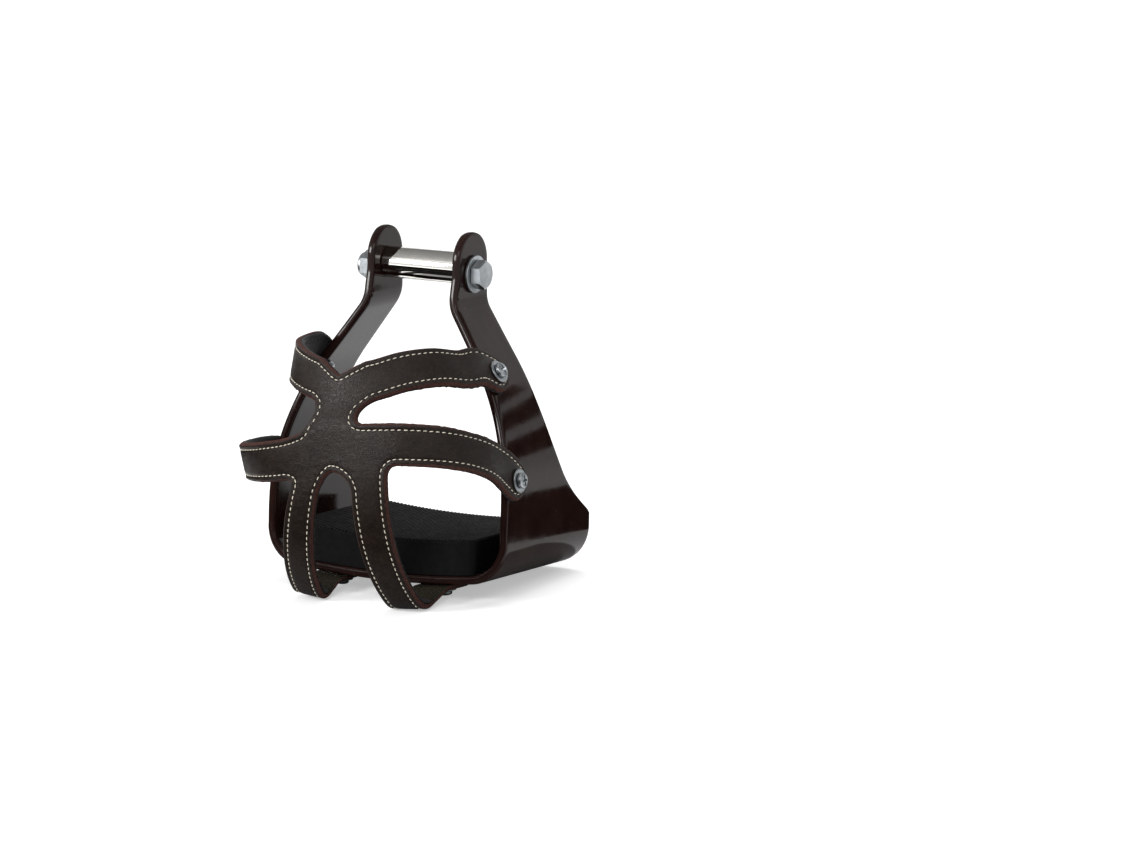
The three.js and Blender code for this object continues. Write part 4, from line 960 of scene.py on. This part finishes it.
class Arm:
    """One pair of arms: their centre line from leg to leg and the lean of their width."""

    def __init__(self, reach, front_height, screw_height, lean_shares, right, left):
        self.screw_height = screw_height
        front = (0, -reach, front_height)
        right_points, left_points = [self.side_points(front, side) for side in (right, left)]
        mirrored = [(-x, y, z) for x, y, z in left_points]
        self.points = catmull_rom(mirrored[::-1] + [front] + right_points)
        steps = np.linalg.norm(np.diff(self.points, axis=0), axis=1)
        self.lengths = np.concatenate([[0], np.cumsum(steps)])
        self.length = self.lengths[-1]
        self.middle = self.lengths[len(left_points) * CURVE_STEPS]
        self.slopes = unit(np.gradient(self.points, self.lengths, axis=0))
        self.leans = [self.lean_curve(lean_shares, side["leans"]) for side in (right, left)]

    def on_leg(self, along, side):
        fall = radians(side["fall"])
        point, _ = leg_face(self.screw_height - along * sin(fall), CAGE_OFFSET)
        return point[0], along * cos(fall) - side["forward"], point[2]

    def side_points(self, front, side):
        """Places along one side's middle line, from the front to the end on the leg."""
        leg_x = self.on_leg(0, side)[0]
        free = [(x * leg_x, y * front[1], front[2] + z * side["rise"]) for x, y, z in side["shares"]]
        return free + [self.on_leg(along, side) for along in (-TAB_RUN, 0, TAB_INSET)]

    def lean_curve(self, shares, leans):
        """Lean along one side, which ends at the leg's own lean."""
        _, normal = leg_face(self.screw_height, 0)
        leg_lean = atan2(normal[2], normal[0])
        free = list(zip(shares, np.radians(leans)))
        return smooth_curve(free + [(TAB_LEAN_SHARE, leg_lean), (1, leg_lean)])

    def reach_of(self, sign):
        return self.middle if sign < 0 else self.length - self.middle

    def lean_at(self, along):
        right = self.leans[0](np.abs(along) / self.reach_of(1))
        left = self.leans[1](np.abs(along) / self.reach_of(-1))
        return np.where(along < 0, left, right)

    def point(self, along, across):
        """Points at a length along the arms from the middle, and across them upward."""
        s = np.clip(self.middle + along, 0, self.length)
        point = np.stack([np.interp(s, self.lengths, c) for c in self.points.T], 1)
        slope = unit(np.stack([np.interp(s, self.lengths, c) for c in self.slopes.T], 1))
        lean = self.lean_at(along)[:, None]
        inward = unit(np.stack([-slope[:, 1], slope[:, 0], 0 * s], 1))
        width = np.array([0, 0, 1]) * np.cos(lean) + inward * np.sin(lean)
        width = unit(width - slope * np.sum(width * slope, 1, keepdims=True))
        return point + width * np.asarray(across, float).reshape(-1, 1)


UPPER, LOWER = Arm(**UPPER_ARMS), Arm(**LOWER_ARMS)


def tab_level(x):
    """Seam height where a strap lies flat under the tread."""
    return dish_rise(x) - SEAT_GAP + HALF_SEAM


def strap_middle(strap):
    return np.array([strap["sign"] * (strap["inset"] + strap["width"] / 2)])


def strap_tab_x(strap):
    """Distance of a strap's end from the middle, under the tread."""
    return strap["sign"] * LOWER.point(strap_middle(strap), -HALF_ARM)[0][0] + strap["splay"]


def strap_segments(strap):
    """A strap's side view: bow, tight turn, riser, return bend and tab, as (length, turn)."""
    along = strap_middle(strap)
    start = LOWER.point(along, -HALF_ARM)[0]
    start_lean = float(LOWER.lean_at(along)[0])
    lowest = LEATHER_THICKNESS + HALF_SEAM - strap["drop"]
    turn_low = TURN_RADIUS * (1 - sin(STRAP_END_LEAN))
    bow = (start[2] - lowest - turn_low) / (sin(start_lean) + sin(STRAP_END_LEAN))
    level = tab_level(strap_tab_x(strap))
    bends = (TURN_RADIUS + RETURN_BEND_RADIUS) * (1 - cos(RETURN_RISE))
    riser = (level - lowest - bends) / sin(RETURN_RISE)
    bow_turn = start_lean + STRAP_END_LEAN
    tight_turn = pi / 2 + RETURN_RISE - STRAP_END_LEAN
    return start_lean, [
        (bow * bow_turn, bow_turn), (TURN_RADIUS * tight_turn, tight_turn), (riser, 0),
        (RETURN_BEND_RADIUS * RETURN_RISE, -RETURN_RISE), (STRAP_TAB_LENGTH, 0),
    ]


def strap_offset(strap, distance):
    """Way back and down from the lower arm's edge after a length of strap."""
    start_lean, segments = strap["profile"]
    heading = np.full_like(distance, start_lean)
    back, down, left = np.zeros_like(distance), np.zeros_like(distance), distance.copy()
    for length, turn in segments:
        run = np.clip(left, 0, length)
        turned = turn * run / length
        half = np.where(np.abs(turned) < LEAST_TURN, LEAST_TURN, turned / 2)
        chord = run * np.sin(half) / half
        back -= chord * np.sin(heading - turned / 2)
        down += chord * np.cos(heading - turned / 2)
        heading = heading - turned
        left -= run
    return back, down


for strap in STRAPS:
    strap["profile"] = strap_segments(strap)
    strap["length"] = sum(length for length, _ in strap["profile"][1])
    strap["total_drop"] = float(strap_offset(strap, np.array([strap["length"]]))[1][0])


def strap_point(strap, along, distance):
    start = LOWER.point(along, -HALF_ARM)
    inside = np.clip(np.abs(along) / strap["inset"], 0, 1)
    splay = strap["sign"] * strap["splay"]
    wander = splay * inside * np.sin(pi / 2 * distance / strap["length"])
    back, down = strap_offset(strap, distance)
    drop = down * (start[:, 2] - tab_level(start[:, 0] + splay)) / strap["total_drop"]
    return start + np.stack([wander, back, -drop], 1)


def seam_point(along, up):
    """Seam surface at pattern coordinates: along the arms, and up from the lower arm's middle."""
    along, up = np.asarray(along, float), np.asarray(up, float)
    upper_level = RAIL_SPACING - HALF_ARM
    between = np.clip((up - HALF_ARM) / (upper_level - HALF_ARM), 0, 1)[:, None]
    low = LOWER.point(along, np.clip(up, -HALF_ARM, HALF_ARM))
    high = UPPER.point(along, np.clip(up - RAIL_SPACING, -HALF_ARM, HALF_ARM))
    point = low * (1 - between) + high * between
    distance = np.clip(-HALF_ARM - up, 0, None)
    for strap in STRAPS:
        mine = (up < -HALF_ARM) & ((along < 0) == (strap["sign"] < 0))
        if mine.any():
            point[mine] = strap_point(strap, along[mine], distance[mine])
    return point


def seam_normal(along, up, probe=1.0):
    along, up = np.asarray(along, float), np.asarray(up, float)
    a = seam_point(along + probe, up) - seam_point(along - probe, up)
    b = seam_point(along, up + probe) - seam_point(along, up - probe)
    return unit(np.cross(a, b))


def arc_points(centre, radius, start, end, steps=PATTERN_POINTS["fillet"]):
    turns = np.linspace(start, end, steps)
    return [(centre[0] + radius * cos(t), centre[1] + radius * sin(t)) for t in turns]


def pattern_half(strap, strap_end):
    """One half of the cut pattern, from the middle of the V notch round to the arch."""
    quarter = pi / 2
    top = RAIL_SPACING + HALF_ARM
    notch = (RAIL_SPACING - ARM_WIDTH) / 2
    inner, outer = strap["inset"], strap["inset"] + strap["width"]
    end = -HALF_ARM - strap_end
    corner = strap["width"] * STRAP_CORNER_SHARE
    lower_round = strap["tab"] / 2
    upper_end = UPPER.reach_of(strap["sign"]) - HALF_ARM
    lower_end = LOWER.reach_of(strap["sign"]) - lower_round
    dip = [(0, top - V_NOTCH_DEPTH), (V_NOTCH_HALF_WIDTH / 2, top - V_NOTCH_DEPTH / 3),
           (V_NOTCH_HALF_WIDTH, top)]
    points = [tuple(bent(*np.array(dip), t)) for t in np.linspace(0, 1, PATTERN_POINTS["dip"])]
    points += arc_points((upper_end, RAIL_SPACING), HALF_ARM, quarter, -quarter, PATTERN_POINTS["end"])
    points += arc_points((strap["notch"] + notch, RAIL_SPACING / 2), notch, quarter, 3 * quarter)
    points += arc_points((lower_end, 0), lower_round, quarter, -quarter, PATTERN_POINTS["end"])
    points += arc_points((outer + STRAP_FILLET, -HALF_ARM - STRAP_FILLET), STRAP_FILLET, quarter, 2 * quarter)
    for x, turn in ((outer - corner, 0), (inner + corner, -quarter)):
        points += arc_points((x, end + corner), corner, turn, turn - quarter, PATTERN_POINTS["corner"])
    points += [(inner * cos(t), ARCH_ROUND * (sin(t) - 1) - ARCH_TOP_DROP)
               for t in np.linspace(0, quarter, PATTERN_POINTS["arch"])]
    return [(strap["sign"] * x, y) for x, y in points]


def resampled(points, step):
    """Evenly spaced points round a closed outline."""
    points = np.array(points)
    closed = np.vstack([points, points[:1]])
    lengths = np.concatenate([[0], np.cumsum(np.linalg.norm(np.diff(closed, axis=0), axis=1))])
    count = max(8, round(lengths[-1] / step))
    places = np.linspace(0, lengths[-1], count, endpoint=False)
    return np.stack([np.interp(places, lengths, c) for c in closed.T], 1)


def pattern_outline(segment_count):
    """The whole cut pattern, anticlockwise; each strap ends after so many of its segments."""
    halves = []
    for strap in STRAPS:
        ending = sum(length for length, _ in strap["profile"][1][:segment_count])
        halves.append(pattern_half(strap, ending))
    return resampled((halves[0] + halves[1][1:-1][::-1])[::-1], OUTLINE_STEP)


def inward_normals(outline):
    slope = unit(np.roll(outline, -1, 0) - np.roll(outline, 1, 0))
    return np.stack([-slope[:, 1], slope[:, 0]], 1)


def distance_to(outline, points):
    """Distance from each point to an outline's sides."""
    starts, sides = outline, np.roll(outline, -1, 0) - outline
    squares = np.sum(sides ** 2, 1)
    found = []
    for chunk in np.array_split(points, max(1, len(points) // 500)):
        gap = chunk[:, None, :] - starts[None]
        t = np.clip(np.sum(gap * sides, 2) / squares, 0, 1)
        found.append(np.sqrt(np.sum((gap - t[..., None] * sides) ** 2, 2)).min(1))
    return np.concatenate(found)


def flat_mesh(outline):
    """Triangles over the pattern, in fine rows along its rim and a coarser grid inside."""
    normals = inward_normals(outline)
    rows = []
    for inset in RIM_ROWS:
        row = outline + normals * inset
        rows.append(row[distance_to(outline, row) > inset - ROW_TOLERANCE])
    low, high = outline.min(0), outline.max(0)
    grid = []
    for j, y in enumerate(np.arange(low[1], high[1], INNER_SPACING * INNER_ROW_SHARE)):
        grid += [(x + (j % 2) * INNER_SPACING / 2, y) for x in np.arange(low[0], high[0], INNER_SPACING)]
    grid = np.array(grid)
    grid = grid[distance_to(outline, grid) > RIM_ROWS[-1] + INNER_SPACING / 2]
    points = np.vstack([outline, *rows, grid])
    count = len(outline)
    edges = [(i, (i + 1) % count) for i in range(count)]
    found = delaunay_2d_cdt([Vector(p) for p in points], edges, [], 1, SAME_PLACE)
    used = sorted({i for face in found[2] for i in face})
    renumber = {old: new for new, old in enumerate(used)}
    plane = np.array([found[0][i][:] for i in used])
    faces = [tuple(renumber[i] for i in face) for face in found[2]]
    rim = {}
    for old in used:
        for source in found[3][old]:
            if source < count:
                rim[source] = renumber[old]
    return plane, faces, [rim[i] for i in range(count)]


def face_offset(inset, thickness):
    """Height of a layer's face over the seam: bevelled at the rim and drawn in along the stitches."""
    bevel = thickness * BEVEL_DEPTH_SHARE * np.clip(1 - inset / BEVEL_WIDTH, 0, 1) ** BEVEL_POWER
    dip = SEAM_GROOVE * np.exp(-((inset - STITCH_INSET) / SEAM_GROOVE_WIDTH) ** 2)
    return HALF_SEAM + thickness - bevel - dip


def edge_rings(outline, rim_place, rim_normal, rim_height, outward):
    """Points of the cut edge, which bulges and is a little rough."""
    rim_out = -inward_normals(outline)
    rng = np.random.default_rng(EDGE_SEED)
    rings = []
    for share, bulge in EDGE_RING_SHARES:
        rough = 1 + EDGE_ROUGHNESS_SHARE * rng.standard_normal(len(outline))
        place = rim_place + rim_out * (EDGE_BULGE * bulge * np.clip(rough, 0, 2))[:, None]
        height = HALF_SEAM + share * (rim_height - HALF_SEAM)
        rings.append(seam_point(*place.T) + rim_normal * (outward * height)[:, None])
    return rings


def band_faces(loops):
    """Quads between loops of points that follow each other down the edge."""
    faces = []
    for upper, lower in zip(loops, loops[1:]):
        for i in range(len(upper)):
            j = (i + 1) % len(upper)
            faces.append((upper[j], upper[i], lower[i], lower[j]))
    return faces


def cage_layer(name, node, slot, segment_count, thickness, outward):
    """A closed layer of the cage between the seam side and its face side."""
    outline = pattern_outline(segment_count)
    plane, faces, rim = flat_mesh(outline)
    inset = distance_to(outline, plane)
    inset[rim] = 0
    seam, normal = seam_point(*plane.T), seam_normal(*plane.T)
    height = face_offset(inset, thickness)
    rings = edge_rings(outline, plane[rim], normal[rim], height[rim], outward)
    face_side = seam + normal * (outward * height)[:, None]
    points = np.vstack([face_side, seam + normal * (outward * HALF_SEAM), *rings])
    count, side = len(plane), len(rings) * len(rim)
    below = [tuple(i + count for i in face[::-1]) for face in faces]
    loops = [list(rim)]
    loops += np.arange(2 * count, 2 * count + side).reshape(len(rings), -1).tolist()
    loops.append([i + count for i in rim])
    all_faces = faces + below + band_faces(loops)
    if outward < 0:
        all_faces = flipped(all_faces)
    piece = add_piece(name, points, all_faces, slot, [node], smooth=70)
    edge = np.clip(RAW_REACH_SHARE - inset / BEVEL_WIDTH, 0, 1)
    paint_shares(piece, "edge", [edge, np.zeros(count), np.ones(side)])
    paint_shares(piece, "flesh", [np.zeros(count), np.ones(count), np.zeros(side)])


def paint_shares(piece, name, parts):
    """A share at each of the mesh's points, which the material reads."""
    attribute = piece.data.attributes.new(name, "FLOAT", "POINT")
    attribute.data.foreach_set("value", np.concatenate(parts).astype(np.float32))


def stitch_shape():
    """One stitch about its middle: along x, across y and up z, each as shares of its size."""
    points = []
    for t in np.linspace(-1, 1, STITCH_ROWS):
        girth = sqrt(max(1 - abs(t) ** STITCH_TAPER_POWER, STITCH_END_SHARE))
        sink = -STITCH_SINK_SHARE * abs(t) ** 3
        for a in circle(STITCH_TURNS):
            points.append((t / 2, girth * cos(a) / 2, sink + girth * sin(a)))
    return np.array(points), ring_faces(STITCH_ROWS, STITCH_TURNS)


def stitches(name, slot, material, segment_count, thickness, outward):
    """A row of stitches all round the pattern, each a short length of thread."""
    outline = pattern_outline(segment_count)
    inset = outline + inward_normals(outline) * STITCH_INSET
    inset = inset[distance_to(outline, inset) > STITCH_INSET - STITCH_TOLERANCE]
    path = resampled(inset, STITCH_PITCH)
    ahead = unit(np.roll(path, -1, 0) - np.roll(path, 1, 0))
    normal = seam_normal(*path.T)
    centre = seam_point(*path.T) + normal * (outward * (HALF_SEAM + thickness - SEAM_GROOVE))
    forward = seam_point(*(path + ahead).T) - seam_point(*(path - ahead).T)
    forward = unit(forward - normal * np.sum(forward * normal, 1, keepdims=True))
    side = np.cross(normal, forward)
    slant = STITCH_SLANT + STITCH_WANDER * np.random.default_rng(STITCH_SEED).standard_normal(len(path))
    turned = forward * np.cos(slant)[:, None] + side * np.sin(slant)[:, None]
    shape, faces = stitch_shape()
    x, y, z = (shape * np.array([STITCH_LENGTH, THREAD_WIDTH, THREAD_HEIGHT * outward])).T[:, :, None]
    across = np.cross(normal, turned)
    points = centre[:, None] + turned[:, None] * x + across[:, None] * y + normal[:, None] * z
    if outward < 0:
        faces = flipped(faces)
    all_faces = [tuple(i + k * len(shape) for i in face) for k in range(len(path)) for face in faces]
    add_piece(name, points.reshape(-1, 3), all_faces, slot, smooth=80, material=material)


def cage_pieces():
    """The leather and, inside it, the backing, which ends in the straps' tight turn."""
    whole, bow_and_turn = len(RIGHT["profile"][1]), 2
    outer, inner = (whole, LEATHER_THICKNESS, 1), (bow_and_turn, BACKING_THICKNESS, -1)
    cage_layer("stitched_leather", "cage_leather", "leather", *outer)
    cage_layer("soft_backing", "cage_backing", "backing", *inner)
    stitches("cream_stitches", "leather", "cream_thread", *outer)
    stitches("lining_stitches", "backing", "black_thread", *inner)


# Screws

def cross_cut(points, faces, top):
    """Cuts a cross recess with tapered walls into a screw head."""
    head = mesh_object("head", points, faces)
    half_span, half_width = CROSS_SPAN / 2, CROSS_WIDTH / 2
    rows = [(1, 1, CROSS_OVERRUN), (1, 1, 0), (*CROSS_FLOOR_SHARES, -CROSS_DEPTH)]
    corners = ((1, 1), (-1, 1), (-1, -1), (1, -1))
    bar_points = [(i * x * half_span, j * y * half_width, top + z) for x, y, z in rows for i, j in corners]
    for turn in (0, pi / 2):
        c, s = cos(turn), sin(turn)
        turned = [(x * c - y * s, x * s + y * c, z) for x, y, z in bar_points]
        bar = mesh_object("bar", turned, flipped(ring_faces(len(rows), len(corners))))
        cut = head.modifiers.new("cut", "BOOLEAN")
        cut.object = bar
        cut.operation = "DIFFERENCE"
        cut.solver = "EXACT"
        head = applied(head)
        bpy.data.objects.remove(bar)
    mesh = head.data
    found = np.array([v.co[:] for v in mesh.vertices]), [tuple(p.vertices) for p in mesh.polygons]
    bpy.data.objects.remove(head)
    return found


def applied(made):
    """The object with its modifiers applied, in a new object."""
    depsgraph = bpy.context.evaluated_depsgraph_get()
    mesh = bpy.data.meshes.new_from_object(made.evaluated_get(depsgraph))
    bpy.data.objects.remove(made)
    return placed(mesh.name, mesh)


def pan_head(seat):
    """Domed head with a cross recess, its underside at z = seat."""
    radius, core = SCREW_HEAD_DIAMETER / 2, SCREW_CORE_RADIUS
    inward, upward = SCREW_HEAD_FOOT_CUT
    across_power, upward_power = SCREW_HEAD_DOME_POWERS
    profile = [(core, seat), (radius - inward, seat), (radius, seat + upward)]
    for t in np.linspace(0, 1, SCREW_DOME_POINTS):
        turn = t * pi / 2
        share = SCREW_HEAD_RIM_SHARE + (1 - SCREW_HEAD_RIM_SHARE) * sin(turn) ** upward_power
        reach = radius * cos(turn) ** across_power if t < 1 else core
        profile.append((reach, seat + SCREW_HEAD_HEIGHT * share))
    points, faces = lathe(profile, SCREW_SEGMENTS)
    return cross_cut(points, faces, seat + SCREW_HEAD_HEIGHT)


def washered_screws():
    """The six screws of the cage, each with a flat washer under its head."""
    seat = SEAT_GAP + SCREW_WASHER_THICKNESS + SEAT_GAP
    bore = SCREW_DIAMETER / 2 + BORE_CLEARANCE
    washer = washer_solid(SCREW_WASHER_DIAMETER / 2, bore, SCREW_WASHER_THICKNESS, SCREW_WASHER_RIM)
    flat, head = raised(washer[0], SEAT_GAP), pan_head(seat)
    for name, place, normal, grip in screw_seats():
        shank, faces = thread(SCREW_DIAMETER / 2, grip + seat, **SCREW_THREAD)
        points, faces = joined(head, (raised(shank, seat + SCREW_HEAD_OVERLAP), faces))
        points = aimed(points, place, normal)
        add_piece("cross_screw_" + name, points, faces, "zinc", [name + "_screw"], smooth=35)
        points = aimed(flat, place, normal)
        add_piece("flat_washer_" + name, points, washer[1], "zinc", [name + "_washer"])


def under_tread(x, sign):
    """Direction straight down from the dished plate at a distance from its middle."""
    return unit(np.array([sign * x / DISH_RADIUS, 0, -1]))


def screw_seats():
    """Each cage screw's name, seat on the leather, outward direction and length to its tip."""
    seats = []
    grip = CAGE_STACK + BAR_THICKNESS + SCREW_TIP_BEYOND_LEG
    for level, arms in (("upper", UPPER_ARMS), ("lower", LOWER_ARMS)):
        (x, _, z), normal = leg_face(arms["screw_height"], CAGE_STACK)
        for strap in STRAPS:
            side, sign = strap["side"], strap["sign"]
            place, outward = (sign * x, -arms[side]["forward"], z), (sign * normal[0], 0, normal[2])
            seats.append((f"{side}_{level}", place, outward, grip))
    grip = LEATHER_THICKNESS + SEAT_GAP + BAR_THICKNESS + STRAP_SCREW_GRIP
    for strap in STRAPS:
        x, sign = strap_tab_x(strap), strap["sign"]
        place = (sign * x, -STRAP_SCREW_FORWARD, dish_rise(x) - SEAT_GAP - LEATHER_THICKNESS)
        seats.append((strap["side"] + "_strap", place, under_tread(x, sign), grip))
    return seats


def pad_screws():
    """Countersunk screws under the tread, their faces just below its paint."""
    head, shank = PAD_SCREW_HEAD_DIAMETER / 2, PAD_SCREW_DIAMETER / 2
    core, rim = SCREW_CORE_RADIUS, PAD_SCREW_RIM
    top, depth = -SEAT_GAP / 2, head - shank
    cone = [(core, top - depth), (shank, top - depth), (head, top - rim), (head - rim, top), (core, top)]
    recessed = cross_cut(*lathe(cone, SCREW_SEGMENTS), top)
    shaft, faces = thread(shank, BAR_THICKNESS + PAD_SCREW_GRIP - depth, **SCREW_THREAD)
    points, faces = joined(recessed, (raised(shaft, -depth), faces))
    for name, sign in (("right", 1), ("left", -1)):
        place = (sign * PAD_SCREW_SPREAD, PAD_SCREW_BEHIND, dish_rise(PAD_SCREW_SPREAD))
        screw = aimed(points, place, under_tread(PAD_SCREW_SPREAD, sign))
        add_piece("countersunk_screw_" + name, screw, faces, "zinc", ["pad_screw_" + name], smooth=30)


# Studio

def camera():
    a, e = CAMERA_AZIMUTH, CAMERA_ELEVATION
    back = Vector((sin(a) * cos(e), -cos(a) * cos(e), sin(e)))
    level = Vector((cos(a), sin(a), 0))
    upward = back.cross(level)
    c, s = cos(CAMERA_ROLL), sin(CAMERA_ROLL)
    right, up = level * c + upward * s, upward * c - level * s
    aside = (TARGET_PIXEL[0] - PHOTO_SIZE[0] / 2) / FOCAL_PIXELS * CAMERA_DISTANCE
    above = (PHOTO_SIZE[1] / 2 - TARGET_PIXEL[1]) / FOCAL_PIXELS * CAMERA_DISTANCE
    data = bpy.data.cameras.new("camera")
    data.sensor_width = SENSOR_WIDTH
    data.lens = FOCAL_PIXELS / PHOTO_SIZE[0] * data.sensor_width
    made = placed("camera", data)
    turn = Matrix((right, up, back)).transposed()
    place = TARGET - right * aside - up * above + back * CAMERA_DISTANCE
    made.matrix_world = Matrix.Translation(place) @ turn.to_4x4()
    bpy.context.scene.camera = made


def area_light(name, place, aim, size, power):
    data = bpy.data.lights.new(name, "AREA")
    data.shape = "RECTANGLE"
    data.size, data.size_y = size
    data.energy = power
    made = placed(name, data)
    made.location = place
    made.rotation_euler = (Vector(aim) - Vector(place)).to_track_quat("-Z", "Y").to_euler()


def seen_by_eye(tree):
    """1 for what the camera, a reflection or clear material sees, 0 for light."""
    path = tree.nodes.new("ShaderNodeLightPath").outputs
    seen = path["Is Camera Ray"]
    for name in ("Is Glossy Ray", "Is Transmission Ray"):
        seen = wired(tree, "Math", 0, {0: seen, 1: path[name]}, operation="MAXIMUM")
    return seen


def world():
    """White to the eye, a soft grey sky as light."""
    made = bpy.data.worlds.new("studio")
    made.use_nodes = True
    tree = made.node_tree
    inputs = {"Value": seen_by_eye(tree), "To Min": SKY_LIGHT, "To Max": 1}
    sky = tree.nodes["Background"].inputs
    feed(tree, sky["Color"], (1, 1, 1, 1))
    feed(tree, sky["Strength"], wired(tree, "MapRange", "Result", inputs))
    bpy.context.scene.world = made


def board(name, corners, material, only_in_gloss=True):
    """A flat board of the studio. A card shows only in gloss and shades nothing."""
    made = mesh_object(name, corners, [(0, 1, 2, 3)])
    made.data.materials.append(material)
    made.visible_camera = made.visible_diffuse = made.visible_shadow = not only_in_gloss


def level_corners(size, back=0, height=0):
    x, y = size[0] / 2, size[1] / 2
    return [(i * x, j * y + back, height) for i, j in ((-1, -1), (1, -1), (1, 1), (-1, 1))]


def floor():
    """Pale ground, lifted to nearly white where it is seen."""
    shader = Shader("pale_floor")
    material = shader.done(
        Base_Color=(FLOOR_TONE, FLOOR_TONE, FLOOR_TONE, 1),
        Roughness=0.9,
        Emission_Color=(1, 1, 1, 1),
        Emission_Strength=shader.combine(seen_by_eye(shader.tree), FLOOR_GLOW),
    )
    board("floor", level_corners((FLOOR_SPAN, FLOOR_SPAN)), material, only_in_gloss=False)


def cards():
    """Low cards round the stirrup, those behind with slots of light between boards, and level ones; the grey
    one under the stirrup is a painted shadow, the floor's shade as reflections show it.
    """
    for number, card in enumerate(STANDING_CARDS):
        a = radians(card["azimuth"])
        out, along = Vector((sin(a), -cos(a), 0)), Vector((cos(a), sin(a), 0))
        foot = out * card["distance"] + along * card["aside"]
        ends = foot - along * card["width"] / 2, foot + along * card["width"] / 2
        for level, (low, high) in enumerate(card["boards"]):
            rows = zip(ends + ends[::-1], (low, low, high, high))
            corners = [(end.x, end.y, height) for end, height in rows]
            board(f"card_{number}_{level}", corners, MATERIALS["dark_card"])
    for card in LEVEL_CARDS:
        corners = level_corners(card["size"], card["back"], card["height"])
        board(card["name"], corners, MATERIALS[card["material"]])


def studio():
    camera()
    world()
    floor()
    cards()
    for lamp in LAMPS:
        area_light(**lamp)
    bpy.context.scene.view_settings.view_transform = "Standard"


studio()
frame_piece()
roller_piece()
bolt_piece()
bolt_washers()
lock_nut_pieces()
pad_piece()
cage_pieces()
washered_screws()
pad_screws()
